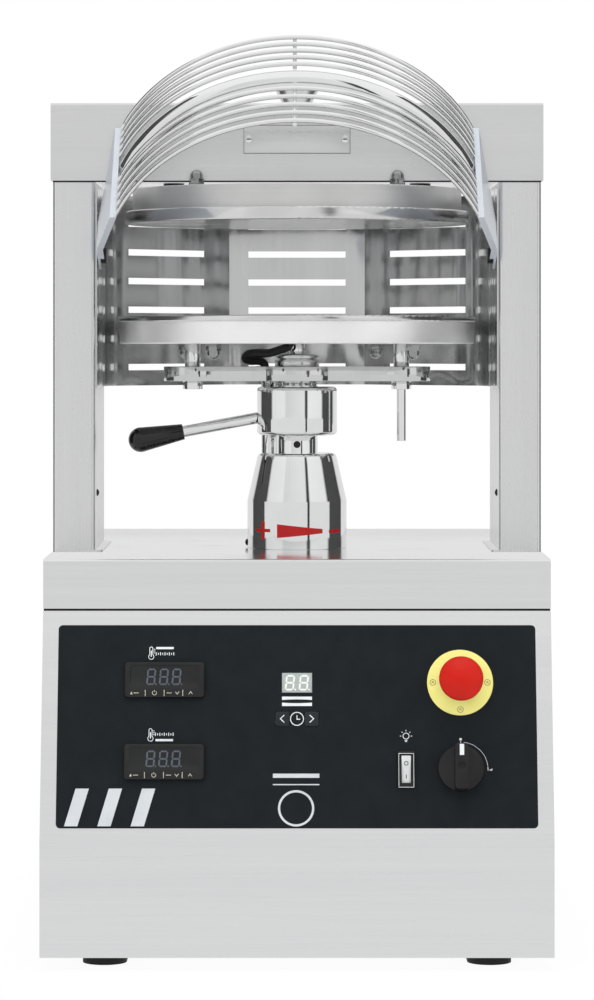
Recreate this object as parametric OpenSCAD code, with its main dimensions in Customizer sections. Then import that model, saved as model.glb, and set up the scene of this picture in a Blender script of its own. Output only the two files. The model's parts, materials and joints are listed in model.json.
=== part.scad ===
// Heated dough press: a cabinet with a drip tray, two uprights and a header that carry a fixed hot
// plate, a second hot plate lifted from below by a screw-driven ram, and a swing-up wire guard.
// X runs to the operator's right, Y runs away from the operator and Z runs up. The origin is on the
// floor under the middle of the machine's outline. Millimetres.

/* [Cabinet] */
// Width of the cabinet and of the tray on it
cab_w = 464; // [440:1:520]
// Depth of the tray, front edge to back edge
tray_depth = 560; // [520:5:640]
// How far the fold of the front panel stands in front of the tray
fold_out = 50; // [20:1:80]
// Height of the upright skirt below the fold
skirt_h = 104; // [80:1:140]
// Height of the sloped control panel, measured upright
panel_rise = 205; // [195:1:260]
// Sheet thickness of the cabinet
sheet_t = 1.5; // [1:0.1:3]
// Thickness of the bottom plate
base_t = 2; // [1.5:0.1:4]
// How far the back panel sits inside the back edge
back_recess = 6; // [2:1:15]

/* [Feet] */
// Height of the rubber feet
foot_h = 13; // [8:1:40]
// Radius of a foot at the floor
foot_r = 17; // [12:1:25]
// Distance between the feet, side to side
foot_span_x = 358; // [300:1:400]
// Setback of the front and back feet from the tray's edges
foot_inset = 40; // [25:1:80]
// Radius of a foot's stud
foot_stud_r = 4; // [3:0.5:6]

/* [Tray] */
// Height of the tray's turned-down rim
tray_rim_h = 45; // [30:1:70]
// Sheet thickness of the tray
tray_t = 1.5; // [1:0.1:3]
// Shadow gap between the cabinet and the tray's rim
seam_gap = 2; // [1:0.5:6]
// Radius along the tray's long top edges
tray_edge_r = 2.5; // [1:0.5:5]

/* [Uprights and header] */
// Clear span between the uprights
clear_span = 382; // [376:1:420]
// Width of an upright seen from the front
upright_w = 40; // [30:1:60]
// Depth of an upright
upright_depth = 168; // [120:1:200]
// Height of an upright above the tray
upright_h = 350; // [345:1:420]
// Setback of the uprights from the tray's front edge
upright_setback = 119; // [90:1:140]
// Wall of an upright
upright_wall = 2.5; // [1.5:0.1:5]
// Corner radius of an upright
upright_corner_r = 4; // [3:0.5:8]
// Width of the foot flange inside each upright
upright_flange_w = 7; // [4:1:7]
// Thickness of the foot flange
upright_flange_t = 2; // [1:0.5:4]
// Thickness of the beam that carries the upper plate
beam_t = 12; // [8:1:20]
// How far the header stands proud of the uprights, all round
header_proud = 2; // [1.6:0.1:4]
// Height of the header cover
header_h = 73.5; // [60:0.5:100]
// Shadow gap under the header cover
header_gap = 1.3; // [0.5:0.1:3]
// Sheet thickness of the header cover
header_t = 1.5; // [1:0.1:1.6]
// Radius along the header's long top edges
header_edge_r = 2.5; // [1:0.5:5]
// Width of the blank plate on the header
name_plate_w = 100; // [60:1:140]
// Height of the blank plate on the header
name_plate_h = 26; // [15:1:40]
// Thickness of the blank plate
name_plate_t = 1; // [0.5:0.1:2]

/* [Press plates] */
// Setback of the press axis from the tray's front edge
axis_setback = 202; // [195:1:210]
// Radius of the upper press disc
upper_disc_r = 166; // [150:1:168]
// Thickness of the upper press disc
upper_disc_t = 12; // [8:1:16]
// Radius of the upper plate's cover
upper_cover_r = 159; // [148:1:164]
// Height of the upper plate's cover
upper_cover_h = 21.5; // [16:0.5:26]
// Height of the spacers between the beam and the cover
spacer_h = 4; // [3:0.5:8]
// Radius of a spacer
spacer_r = 10; // [6:0.5:14]
// Radius of the lower press disc
lower_disc_r = 173; // [155:1:174]
// Thickness of the lower press disc
lower_disc_t = 5.5; // [4:0.5:10]
// Radius of the lower plate's body
lower_body_r = 171.5; // [150:0.5:172]
// Height of the lower plate's body
lower_body_h = 21; // [18:0.5:26]
// Clear gap between the two discs with the plate down
press_gap = 89; // [86:1:110]
// Lift of the ram
lift_stroke = 84; // [60:1:84]
// Wall of the two plates' shells
plate_wall = 3; // [2:0.5:4]
// Radius of a heating element's tube
heater_r = 4.2; // [3:0.1:5]

/* [Spider and posts] */
// Thickness of the spider
spider_t = 14; // [10:0.5:20]
// Radius of the spider's hub
hub_r = 38.5; // [34:0.5:46]
// Radius of the spider's round arm ends
arm_r = 28; // [26:1:33]
// Width of the spider's arms
arm_w = 48; // [30:1:50]
// Distance of each post from the press axis
post_reach = 101; // [85:1:115]
// Radius of a post
post_r = 7.5; // [6:0.5:10]
// Height of the posts
post_h = 22; // [20:0.5:30]
// Radius of the anti-rotation rod
rod_r = 9; // [5:0.5:9]
// Length of the anti-rotation rod below the spider
rod_drop = 262; // [255:1:275]
// Length of the long stop stud below the spider
stop_stud_drop = 58; // [20:1:60]

/* [Column and adjusting collar] */
// Radius of the ram
ram_r = 20; // [17:0.5:21]
// Radius of the ram's threaded top
ram_top_r = 15.5; // [12:0.5:16]
// Height of the thrust bearing between the collar and the spider
bearing_h = 5.6; // [5:0.1:8]
// Radius of the adjusting collar
collar_r = 38.7; // [34:0.1:44]
// Height of the adjusting collar
collar_h = 46.5; // [38:0.5:50]
// Radius of the collar's rounded edges
collar_edge_r = 4; // [1:0.5:6]
// Visible length of the ram between the bell and the collar
neck_h = 17.5; // [12:0.5:30]
// Radius of the bell at the tray
bell_r = 48; // [46:0.5:48.5]
// Radius of the bell at its top
bell_top_r = 37.5; // [34:0.5:40]
// Share of the bell's height that is straight
bell_straight_share = 0.5; // [0.3:0.01:0.7]
// Wall of the bell
bell_wall = 4; // [2.5:0.5:4]
// Radius of the adjusting lever
lever_r = 5.5; // [4:0.5:7]
// Reach of the lever's tip from the press axis
lever_reach = 163; // [140:1:164]
// Droop of the lever below the level
lever_droop = 10.6; // [0:0.1:14]
// Length of the lever's grip
grip_len = 54; // [40:1:70]
// Radius of the grip at the rod
grip_neck_r = 7.5; // [6.5:0.5:9]
// Radius of the grip's ball end
grip_end_r = 12; // [9:0.5:14]

/* [Drive] */
// Radius of the lift screw
screw_r = 10; // [8:0.5:11]
// Radius of the gear motor's case
motor_r = 52; // [40:1:60]
// Height of the motor below its gearbox
motor_h = 118; // [80:1:120]
// Height of the gearbox
gearbox_h = 50; // [30:1:52]

/* [Rear guard] */
// Sheet thickness of the rear guard
rear_t = 1.5; // [1:0.1:2]
// Half width of its middle panel
rear_mid_half = 70; // [60:1:80]
// Setback of its middle panel from the press axis
rear_setback = 228; // [220:1:250]
// Height of the guard's bottom edge above the tray
rear_bottom_h = 155; // [120:1:160]
// Height of the guard
rear_h = 190; // [170:1:194]
// Length of a slot in the middle panel
slot_len = 100; // [60:1:104]
// Length of a slot in a slanted panel
side_slot_len = 106; // [60:1:112]
// Height of a slot
slot_h = 6.4; // [4:0.1:10]
// Distance between slot rows
slot_pitch = 28.8; // [22:0.1:29]
// Number of slot rows
slot_rows = 6; // [3:1:6]

/* [Front guard] */
// Setback of the guard's pivots from the tray's front edge
pivot_setback = 136; // [132:1:150]
// Height of the guard's pivots above the tray
pivot_h = 281; // [275:1:290]
// How far the guard is swung up from level
guard_open = 50; // [40:1:52]
// Reach of the cheeks from the pivot to the wires' ends
cheek_reach = 116.5; // [105:0.5:125]
// Distance from an upright to the ends of the guard's wires
guard_side_gap = 25.5; // [25:0.5:30]
// How far the wires bow out in front of the cheeks
guard_bow = 107; // [95:1:115]
// Height of the topmost wire above the pivot, with the wires level
guard_top_h = 42; // [35:1:50]
// Height of the lowest wire below the pivot, with the wires level
guard_low_h = 86; // [75:1:90]
// Distance between the lower wires
wire_pitch = 12.2; // [9:0.1:12.5]
// Number of lower wires
lower_wires = 5; // [2:1:5]
// Radius of a wire
wire_r = 2; // [1.5:0.1:2.5]
// Radius of the guard's tube
guard_tube_r = 9; // [6:0.5:9]
// Wall of the guard's tube
guard_tube_wall = 1.5; // [1:0.1:3]
// Height of the tube's middle below the pivot, with the wires level
guard_tube_drop = 12; // [8:1:16]
// How far the tube lies inside the wires' bow
guard_tube_back = 9.5; // [8:0.5:10]
// Sheet thickness of the cheeks
cheek_t = 2; // [1.5:0.1:2.5]
// Width of the front strip that the wires end on
cheek_strip_w = 4.5; // [4:0.5:6]
// Width of the flange along the cheek's lower edge
cheek_flange_w = 5; // [3:0.5:6]
// Radius of the cheek's eye round the pivot
cheek_eye_r = 13; // [10:0.5:14]
// Radius of a pivot bolt
pivot_r = 5; // [4:0.5:6]

/* [Control panel] */
// Width of the black fascia
fascia_w = 435; // [420:1:436]
// Height of the fascia along the slope
fascia_h = 185; // [182:1:190]
// Thickness of the fascia
fascia_t = 1; // [0.5:0.1:2]
// Distance of the fascia's top edge from the panel's top edge
fascia_top = 13.4; // [8:0.2:14]
// Corner radius of the fascia
fascia_corner_r = 4; // [1:0.5:8]
// Width of a thermostat's bezel
thermostat_w = 72; // [60:1:80]
// Height of a thermostat's bezel
thermostat_h = 32; // [28:1:36]
// Depth of a thermostat behind the panel
thermostat_depth = 50; // [30:1:60]
// How far a thermostat's bezel stands proud
thermostat_proud = 4; // [2:0.5:6]
// Width of the timer's window
timer_w = 27.3; // [20:0.1:34]
// Height of the timer's window
timer_h = 18; // [14:0.5:22]
// Width of a timer key
key_w = 12.4; // [9:0.1:14]
// Height of a timer key
key_h = 13.2; // [9:0.1:15]
// Travel of a timer key
key_travel = 0.6; // [0.3:0.1:0.7]
// Radius of the yellow disc round the stop button
stop_disc_r = 30; // [24:0.5:34]
// Radius of the stop button's head
stop_head_r = 20; // [16:0.5:22]
// Height of the stop button's head above the fascia
stop_head_h = 35; // [30:0.5:40]
// Travel of the stop button
stop_travel = 4; // [2:0.5:5]
// Radius of the rotary knob
knob_r = 20.5; // [16:0.5:22]
// Height of the rotary knob above the fascia
knob_h = 25; // [20:0.5:30]
// Width of the knob's grip bar
knob_bar_w = 12.4; // [9:0.2:16]
// Width of the rocker switch's frame
rocker_frame_w = 15.5; // [13:0.5:20]
// Height of the rocker switch's frame
rocker_frame_h = 32.5; // [28:0.5:36]
// Tilt of the rocker to each side
rocker_tilt = 7; // [4:0.5:9]

/* [Hidden] */
$fn = 64;

// Clearances and the one overrun of every cut
overrun = 4;
run_gap = 0.06;
slip_gap = 0.3;
bolt_gap = 0.1;

// Levels, from the floor up
fold_z = foot_h + skirt_h;
panel_top_z = fold_z + panel_rise;
deck_z = panel_top_z + seam_gap + tray_rim_h;
upright_top_z = deck_z + upright_h;
header_z = upright_top_z + header_gap;
upper_cover_z = upright_top_z - spacer_h - upper_cover_h;
upper_disc_z = upper_cover_z - upper_disc_t;
lower_disc_top_z = upper_disc_z - press_gap;
lower_disc_z = lower_disc_top_z - lower_disc_t;
lower_body_z = lower_disc_z - lower_body_h;
spider_top_z = lower_body_z - post_h;
spider_z = spider_top_z - spider_t;
collar_top_z = spider_z - bearing_h;
collar_z = collar_top_z - collar_h;
bell_top_z = collar_z - neck_h;
base_top_z = foot_h + base_t;
pivot_z = deck_z + pivot_h;

// Front guard, in its own frame: the pivot is the origin and the wires are level
guard_half_w = clear_span / 2 - guard_side_gap;
bow_r = (pow(guard_half_w, 2) + pow(guard_bow, 2)) / (2 * guard_bow);
bow_apex = cheek_reach + guard_bow;
upper_wire_span = 41.6;
upper_wire_shares = [0, 0.25, 0.5, 0.75, 1];
tube_end_back = 26;
bolt_collar_t = 1.3;
cheek_eye_x = clear_span / 2 - rear_t - bolt_collar_t - slip_gap / 2 - cheek_t / 2;
cheek_corner = [guard_half_w + cheek_strip_w, -cheek_reach + cheek_t / 2];
cheek_bend_share = 0.3;
cheek_bend = [cheek_eye_x, -cheek_reach * cheek_bend_share];
cheek_edge_shares = [[0.29, 0.32], [0.72, 0.56], [0.94, 1]];
cheek_overlap = 4;
cross_wire_x = -2;
cross_wire_bite = 0.8;
bow_spare_angle = 4;
bolt_head_t = 5;
bolt_head_r = 8;
bolt_collar_r = 7;
bolt_wall_reach = 6;

// Places along the depth: the outline of the machine is centred on the origin
gland_out = 22;
front_reach = bow_apex * cos(guard_open) + guard_low_h * sin(guard_open) + wire_r - pivot_setback;
rear_reach = gland_out - back_recess;
front_y = -(tray_depth + rear_reach - front_reach) / 2;
back_y = front_y + tray_depth;
axis_y = front_y + axis_setback;
upright_y = front_y + upright_setback;
upright_mid_y = upright_y + upright_depth / 2;
upright_mid_x = (clear_span + upright_w) / 2;
pivot_y = front_y + pivot_setback;

// Cabinet details
panel_angle = atan(fold_out / panel_rise);
seat_inset = 4;
foot_top_share = 0.9;
foot_stud_up = 6;
louvre_w = 70;
louvre_h = 5;
louvre_pitch = 14;
louvre_rows = 7;
louvre_x = 90;
louvre_z_share = 0.6;
gland_r = 11;
gland_bore_r = 5.5;
gland_nut_h = 7;
gland_tip_r = 8;
gland_x_share = 0.32;
gland_z_share = 0.25;

// Header, screws and plates
crown_base_r = 11.5;
crown_top_r = 22;
crown_h = 24;
crown_lip_h = 5;
crown_stem_r = 6;
name_plate_z_share = 0.53;
name_screw_inset = 4.5;
screw_head_r = 3.6;
screw_head_h = 2.2;
upright_screw_h = 55;
upright_screw_share = 0.2;
side_screw_drop = 27;
back_screw_inset = 14.4;
spacer_x = 117.5;
spacer_y = 50;
cap_af = 13;
cap_hex_h = 6.5;
cap_dome_r = 6;
cap_neck_h = 2.5;
cap_stud_r = 4;
upper_cap_pcr = 134;
upper_cap_turn = 45;
lower_cap_pcr = 135;
lower_cap_turn = -35.5;
disc_edge_r = 1.5;
heater_gap = 0.1;
heater_ring_shares = [0.36, 0.62, 0.86];

// Column details
ear_x = -26;
ear_y = 58;
ear_r = 15;
ear_w = 22;
rod_flange_r = 15;
rod_flange_t = 4;
rod_bush_wall = 3;
rod_bush_drop = 26;
ball_count = 14;
race_r = 20;
race_t_share = 0.24;
ball_gap = 0.05;
ring_nut_r = 21.4;
ring_nut_h = 12;
ring_groove_r = 18.6;
ring_groove_w = 1.4;
ring_base_share = 0.55;
ring_edge_r = 1.2;
post_stud_r = 4.5;
post_nut_af = 17;
post_nut_h = 8;
ram_top_gap = 1.5;
ram_rest_gap = 31.4;
ram_bore_r = 14;
ram_bore_head = 12;
nut_len = 40;
nut_flange_t = 6;
ram_bush_wall = 7;
ram_bush_drop = 45;
ram_bush_top_gap = 16;
ram_bush_flange_r = 42;
ram_bush_flange_t = 8;
bell_mouth_gap = 0.7;
bell_edge_r = 4.5;
bell_edge_steps = 6;
bell_screw_h = 5;
lever_root_r = 26;
lever_root_drop = 23;
lever_scoop_r = 9;
lever_scoop_out = 2;
lever_in_grip = 24;
grip_tip_gap = 1;

// Drive details
motor_foot_r = 64;
motor_foot_t = 6;
gearbox_r = 58;
gearbox_boss_r = 24;
gearbox_boss_h = 16;
screw_socket = 26;
screw_over = 26;
gearbox_top = base_top_z + motor_h + gearbox_h + gearbox_boss_h;
ram_bottom_z = gearbox_top + ram_rest_gap;
fin_count = 24;
fin_w = 3;
fin_out = 5;

// Heater lead under the lower plate, from the plate to the spider, relative to the press axis and to
// the spider's top face
lead_r = 4;
lead_sides = 8;
lead_steps = 3;
lead_route = [
    [-8, -16, 25], [-8, -16, 22.4], [-8, -16, 19.5], [-15, -19, 16.7], [-27, -18, 13], [-38, -16, 13],
    [-47, -13, 12], [-50, -10, 8], [-46, -9, 5.5], [-38, -9, 5.5], [-33, -9, 4], [-31, -9, 0], [-31, -9, -6]
];
lead_hole_gap = 0.6;

// Rear guard, as a plan of its right half, from the press axis
rear_wall_x = clear_span / 2 - rear_t / 2;
rear_front_gap = 6;
rear_elbow_x = 179;
rear_elbow_y = 119;
rear_plan = [
    [rear_wall_x, upright_setback + rear_front_gap - axis_setback],
    [rear_wall_x, upright_setback + upright_depth - axis_setback],
    [rear_elbow_x, rear_elbow_y],
    [rear_mid_half, rear_setback]
];
slot_first_h = 18.5;
slot_shift = 10.5;

// Places of the controls on the panel: across from the middle, and down the slope from its top edge
thermostat_x = -120.3;
thermostat_upper_t = 64;
thermostat_lower_t = 138.7;
thermostat_body_w = 66;
thermostat_body_h = 27;
thermostat_corner_r = 3;
thermostat_lens_w = 62;
thermostat_lens_h = 18;
thermostat_lens_d = 0.6;
thermostat_lens_up = 4;
timer_t = 66.3;
timer_case_w = 58;
timer_case_h = 66;
timer_case_d = 20;
timer_case_t = 84;
key_x = 13.3;
key_t = 99.3;
key_corner_r = 2;
key_proud = 0.8;
key_seat_gap = 0.15;
switch_x = 148.3;
stop_t = 66.2;
stop_barrel_r = 11;
stop_barrel_depth = 46;
stop_bezel_r = 14.5;
stop_bezel_h = 8;
stop_disc_t = 1;
stop_plunger_r = 7.5;
stop_plunger_in = 12;
stop_socket_depth = 10;
stop_skirt_h = 6;
stop_waist_r = 13;
stop_dome_h = 7;
knob_t = 145;
knob_gap = 0.3;
knob_disc_h = 7;
knob_bar_corner_r = 3;
knob_bore_depth = 14;
knob_screw_r = 3.2;
knob_screw_depth = 2;
switch_shaft_r = 3;
switch_case_w = 44;
switch_case_d = 40;
rocker_x = 98.8;
rocker_body_w = 12.2;
rocker_body_h = 28.6;
rocker_body_d = 22;
rocker_frame_t = 2.2;
rocker_w = 8.6;
rocker_h = 24.8;
rocker_side_gap = 0.35;
rocker_edge_h = 2.2;
rocker_keel = 3;
rocker_well = 6;
rocker_corner_r = 1.5;

// Plain rounded rectangle, centred
module rounded_rect(w, h, r) {
    square([w - 2 * r, h], center = true);
    square([w, h - 2 * r], center = true);
    for (sx = [-1, 1], sy = [-1, 1])
        translate([sx * (w / 2 - r), sy * (h / 2 - r)]) circle(r);
}

// Straight strip of sheet from p to q, seen in plan
module strip(p, q, t) {
    run = q - p;
    translate(p) rotate(atan2(run[1], run[0])) translate([0, -t / 2]) square([norm(run), t]);
}

// Unit normal to the right of the run from p to q, and the mitre of two runs that meet at point i
function right_of(p, q) = [q[1] - p[1], p[0] - q[0]] / norm(q - p);
function mitre(points, i) =
    let (last = len(points) - 1,
         a = right_of(points[max(i - 1, 0)], points[max(i, 1)]),
         b = right_of(points[min(i, last - 1)], points[min(i + 1, last)]))
    (a + b) / (1 + a * b);

// Folded sheet along a list of points, seen in plan
module folded(points, t) {
    last = len(points) - 1;
    polygon(concat(
        [for (i = [0 : last]) points[i] + mitre(points, i) * t / 2],
        [for (i = [last : -1 : 0]) points[i] - mitre(points, i) * t / 2]
    ));
}

// Slot outline with round ends from p to q
module stadium(p, q, r) {
    strip(p, q, 2 * r);
    translate(p) circle(r);
    translate(q) circle(r);
}

// Upright prism on a y, z outline, from -w / 2 to w / 2
module across(w) {
    rotate([90, 0, 90]) linear_extrude(w, center = true) children();
}

// Box that spans two corners
module span_box(low, high) {
    translate(low) cube(high - low);
}

// Ring with a bore
module ring(r_out, r_in, h) {
    difference() {
        cylinder(h, r = r_out);
        translate([0, 0, -overrun]) cylinder(h + 2 * overrun, r = r_in);
    }
}

// Hexagonal prism by its width across flats
module hexagon(af, h) {
    cylinder(h, r = af / 2 / cos(30), $fn = 6);
}

// Domed nut with a stud that runs below its seat
module cap_nut(stud_len) {
    hexagon(cap_af, cap_hex_h);
    translate([0, 0, cap_hex_h]) cylinder(cap_neck_h, r = cap_dome_r);
    intersection() {
        translate([0, 0, cap_hex_h + cap_neck_h]) sphere(cap_dome_r);
        translate([0, 0, cap_hex_h]) cylinder(cap_neck_h + cap_dome_r, r = cap_af / 2);
    }
    translate([0, 0, -stud_len]) cylinder(stud_len + cap_hex_h / 2, r = cap_stud_r);
}

// Button-head screw on the plane z = 0
module button_head() {
    dome_r = (pow(screw_head_r, 2) + pow(screw_head_h, 2)) / (2 * screw_head_h);
    intersection() {
        translate([0, 0, screw_head_h - dome_r]) sphere(dome_r);
        cylinder(screw_head_h, r = screw_head_r);
    }
}

module on_axis(z) {
    translate([0, axis_y, z]) children();
}

// Frame of the sloped panel: x across, y up the slope from the panel's top edge, z out of the panel
module on_panel(x, t) {
    translate([x, front_y - t * sin(panel_angle), panel_top_z - t * cos(panel_angle)])
        rotate([90 - panel_angle, 0, 0]) children();
}

// Frame of the front guard, swung up
module on_guard() {
    translate([0, pivot_y, pivot_z]) rotate([-guard_open, 0, 0]) children();
}

// Four or two mirrored places
module at_corners(x, y) {
    for (sx = [-1, 1], sy = [-1, 1]) translate([sx * x, sy * y, 0]) children();
}

// Holes through the panel's sheet and fascia, from the panel's top edge
module panel_holes() {
    for (t = [thermostat_upper_t, thermostat_lower_t])
        translate([thermostat_x, -t])
            square([thermostat_body_w + 2 * slip_gap, thermostat_body_h + 2 * slip_gap], center = true);
    translate([0, -timer_t]) square([timer_w + 2 * slip_gap, timer_h + 2 * slip_gap], center = true);
    for (side = [-1, 1])
        translate([side * key_x, -key_t])
            rounded_rect(key_w + 2 * slip_gap, key_h + 2 * slip_gap, key_corner_r);
    translate([switch_x, -stop_t]) circle(stop_barrel_r + bolt_gap);
    translate([switch_x, -knob_t]) circle(switch_shaft_r + slip_gap);
    translate([rocker_x, -knob_t])
        square([rocker_body_w + 2 * slip_gap, rocker_body_h + 2 * slip_gap], center = true);
}

// Cabinet

module base_plate() {
    inner_x = cab_w / 2 - sheet_t;
    color("silver") difference() {
        span_box([-inner_x, front_y - fold_out + sheet_t, foot_h], [inner_x, back_y - sheet_t, base_top_z]);
        at_feet() translate([0, 0, foot_h - overrun])
            cylinder(base_t + 2 * overrun, r = foot_stud_r + bolt_gap);
    }
}

module at_feet() {
    for (sx = [-1, 1], y = [front_y + foot_inset, back_y - foot_inset])
        translate([sx * foot_span_x / 2, y, 0]) children();
}

module rubber_feet() {
    color("#151515") at_feet() {
        cylinder(foot_h, r1 = foot_r * foot_top_share, r2 = foot_r);
        cylinder(base_top_z + foot_stud_up, r = foot_stud_r);
    }
}

// Side outline of the cabinet in y, z; t moves it inwards and opens it at the top, back and bottom
module cabinet_outline(t, open) {
    polygon([
        [front_y - fold_out + t, foot_h - open],
        [front_y - fold_out + t, fold_z - t * tan(panel_angle / 2)],
        [front_y + t / cos(panel_angle), panel_top_z],
        [front_y + t / cos(panel_angle), panel_top_z + open],
        [back_y + open, panel_top_z + open],
        [back_y + open, foot_h - open]
    ]);
}

module cabinet_shell() {
    seat_out = seat_inset;
    seat_in = seat_inset + sheet_t;
    color("#c9cacb") difference() {
        union() {
            difference() {
                across(cab_w) cabinet_outline(0, 0);
                across(cab_w - 2 * sheet_t) cabinet_outline(sheet_t, overrun);
            }
            translate([0, 0, panel_top_z - sheet_t]) seat_ring(0, sheet_t);
            translate([0, 0, panel_top_z - sheet_t])
                seat_ring(seat_out, deck_z - tray_t - panel_top_z + sheet_t);
        }
        on_panel(0, 0) translate([0, 0, -sheet_t - overrun])
            linear_extrude(sheet_t + 2 * overrun) panel_holes();
    }

    // Flat ring inside the tray's outline that carries the tray
    module seat_ring(inset, h) {
        translate([0, (front_y + back_y) / 2, 0]) linear_extrude(h) difference() {
            square([cab_w - 2 * inset, tray_depth - 2 * inset], center = true);
            square([cab_w - 2 * seat_in, tray_depth - 2 * seat_in], center = true);
        }
    }
}

module back_panel() {
    inner_x = cab_w / 2 - sheet_t;
    plate_y = back_y - back_recess;
    color("#c4c5c6") difference() {
        span_box([-inner_x, plate_y - sheet_t, base_top_z], [inner_x, plate_y, panel_top_z - sheet_t]);
        for (side = [-1, 1], i = [0 : louvre_rows - 1])
            translate([side * louvre_x, plate_y + overrun, panel_top_z * louvre_z_share + i * louvre_pitch])
                rotate([90, 0, 0]) linear_extrude(sheet_t + 2 * overrun)
                    stadium([-louvre_w / 2, 0], [louvre_w / 2, 0], louvre_h / 2);
        at_gland() translate([0, 0, -sheet_t - overrun])
            cylinder(sheet_t + 2 * overrun, r = gland_tip_r + bolt_gap);
    }
}

// Frame of the cable gland: z points out of the back panel
module at_gland() {
    translate([cab_w * gland_x_share, back_y - back_recess, panel_top_z * gland_z_share])
        rotate([-90, 0, 0]) children();
}

module cable_gland() {
    color("#1b1b1b") at_gland() difference() {
        union() {
            hexagon(2 * gland_r * cos(30), gland_nut_h);
            translate([0, 0, gland_nut_h])
                cylinder(gland_out - gland_nut_h, r1 = gland_r * cos(30), r2 = gland_tip_r);
            translate([0, 0, -gland_nut_h]) cylinder(gland_nut_h, r = gland_tip_r);
        }
        translate([0, 0, -gland_nut_h - overrun])
            cylinder(gland_out + gland_nut_h + 2 * overrun, r = gland_bore_r);
    }
}

module case_screws() {
    plate_y = back_y - back_recess;
    name_y = upright_y - header_proud - name_plate_t;
    screw_y = upright_y + upright_depth * upright_screw_share;
    color("#3a3a3a") {
        for (side = [-1, 1]) {
            translate([side * clear_span / 2, screw_y, deck_z + upright_screw_h])
                rotate([0, -side * 90, 0]) button_head();
            translate([side * (clear_span / 2 + upright_w), upright_mid_y, upright_top_z - side_screw_drop])
                rotate([0, side * 90, 0]) button_head();
            translate([side * (name_plate_w / 2 - name_screw_inset), name_y, name_plate_z()])
                rotate([90, 0, 0]) button_head();
            for (z = [base_top_z + back_screw_inset, panel_top_z - back_screw_inset])
                translate([side * (cab_w / 2 - back_screw_inset), plate_y, z])
                    rotate([-90, 0, 0]) button_head();
        }
        on_axis(deck_z + bell_screw_h) translate([-bell_r, 0, 0]) rotate([0, -90, 0]) button_head();
    }
}

module top_tray() {
    edge = tray_edge_r;
    color("#d2d3d4") difference() {
        across(cab_w) union() {
            translate([front_y, panel_top_z + seam_gap]) square([tray_depth, tray_rim_h - edge]);
            translate([front_y + edge, deck_z - edge]) square([tray_depth - 2 * edge, edge]);
            for (y = [front_y + edge, back_y - edge]) translate([y, deck_z - edge]) circle(edge);
        }
        span_box([-cab_w / 2 + tray_t, front_y + tray_t, panel_top_z - overrun],
                 [cab_w / 2 - tray_t, back_y - tray_t, deck_z - tray_t]);
        on_axis(panel_top_z) cylinder(tray_rim_h + 2 * overrun, r = ram_r + ram_bush_wall + bolt_gap);
        on_axis(panel_top_z) translate([ear_x, ear_y, 0])
            cylinder(tray_rim_h + 2 * overrun, r = rod_r + rod_bush_wall + bolt_gap);
    }
}

// Frame

module upright(side) {
    inner_r = upright_corner_r - upright_wall;
    color("#cfd0d1") translate([side * upright_mid_x, upright_mid_y, deck_z]) difference() {
        union() {
            linear_extrude(upright_h) rounded_rect(upright_w, upright_depth, upright_corner_r);
            translate([-side * upright_flange_w, 0, 0]) linear_extrude(upright_flange_t)
                rounded_rect(upright_w, upright_depth, upright_corner_r);
        }
        translate([0, 0, -overrun]) linear_extrude(upright_h + 2 * overrun)
            rounded_rect(upright_w - 2 * upright_wall, upright_depth - 2 * upright_wall, inner_r);
        translate([0, pivot_y - upright_mid_y, pivot_h]) rotate([0, 90, 0]) {
            translate([0, 0, side < 0 ? 0 : -upright_w / 2 - overrun])
                cylinder(upright_w / 2 + overrun, r = pivot_r + bolt_gap);
        }
    }
}

module left_upright() {
    upright(-1);
}

module right_upright() {
    upright(1);
}

// Outer width of the header cover and its front and back planes
function header_w() = clear_span + 2 * upright_w + 2 * header_proud;
function header_front() = upright_y - header_proud;
function header_back() = upright_y + upright_depth + header_proud;
function name_plate_z() = header_z + header_h * name_plate_z_share;

module cross_beam() {
    inner_x = header_w() / 2 - header_t;
    color("#8d8f91") difference() {
        span_box([-inner_x, upright_y, upright_top_z],
                 [inner_x, upright_y + upright_depth, upright_top_z + beam_t]);
        on_axis(upright_top_z - overrun) cylinder(beam_t + 2 * overrun, r = crown_stem_r + bolt_gap);
    }
}

module header_cover() {
    edge = header_edge_r;
    front = header_front();
    back = header_back();
    top = header_z + header_h;
    color("#c6c7c8") difference() {
        across(header_w()) union() {
            translate([front, header_z]) square([back - front, header_h - edge]);
            translate([front + edge, top - edge]) square([back - front - 2 * edge, edge]);
            for (y = [front + edge, back - edge]) translate([y, top - edge]) circle(edge);
        }
        span_box([-header_w() / 2 + header_t, front + header_t, header_z - overrun],
                 [header_w() / 2 - header_t, back - header_t, top - header_t]);
        on_axis(top - overrun) cylinder(2 * overrun, r = crown_stem_r + bolt_gap);
    }
}

module name_plate() {
    color("#d8d9da") translate([0, header_front(), name_plate_z()])
        rotate([90, 0, 0]) linear_extrude(name_plate_t) square([name_plate_w, name_plate_h], center = true);
}

// Flared nut on the header that pulls the beam and the upper plate together
module crown_nut() {
    stem = header_h + header_gap + spacer_h;
    color("#e4e5e6") on_axis(header_z + header_h) rotate_extrude() polygon([
        [0, -stem], [crown_stem_r, -stem], [crown_stem_r, 0], [crown_base_r, 0],
        [crown_top_r, crown_h - crown_lip_h], [crown_top_r, crown_h], [0, crown_h]
    ]);
}

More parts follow.
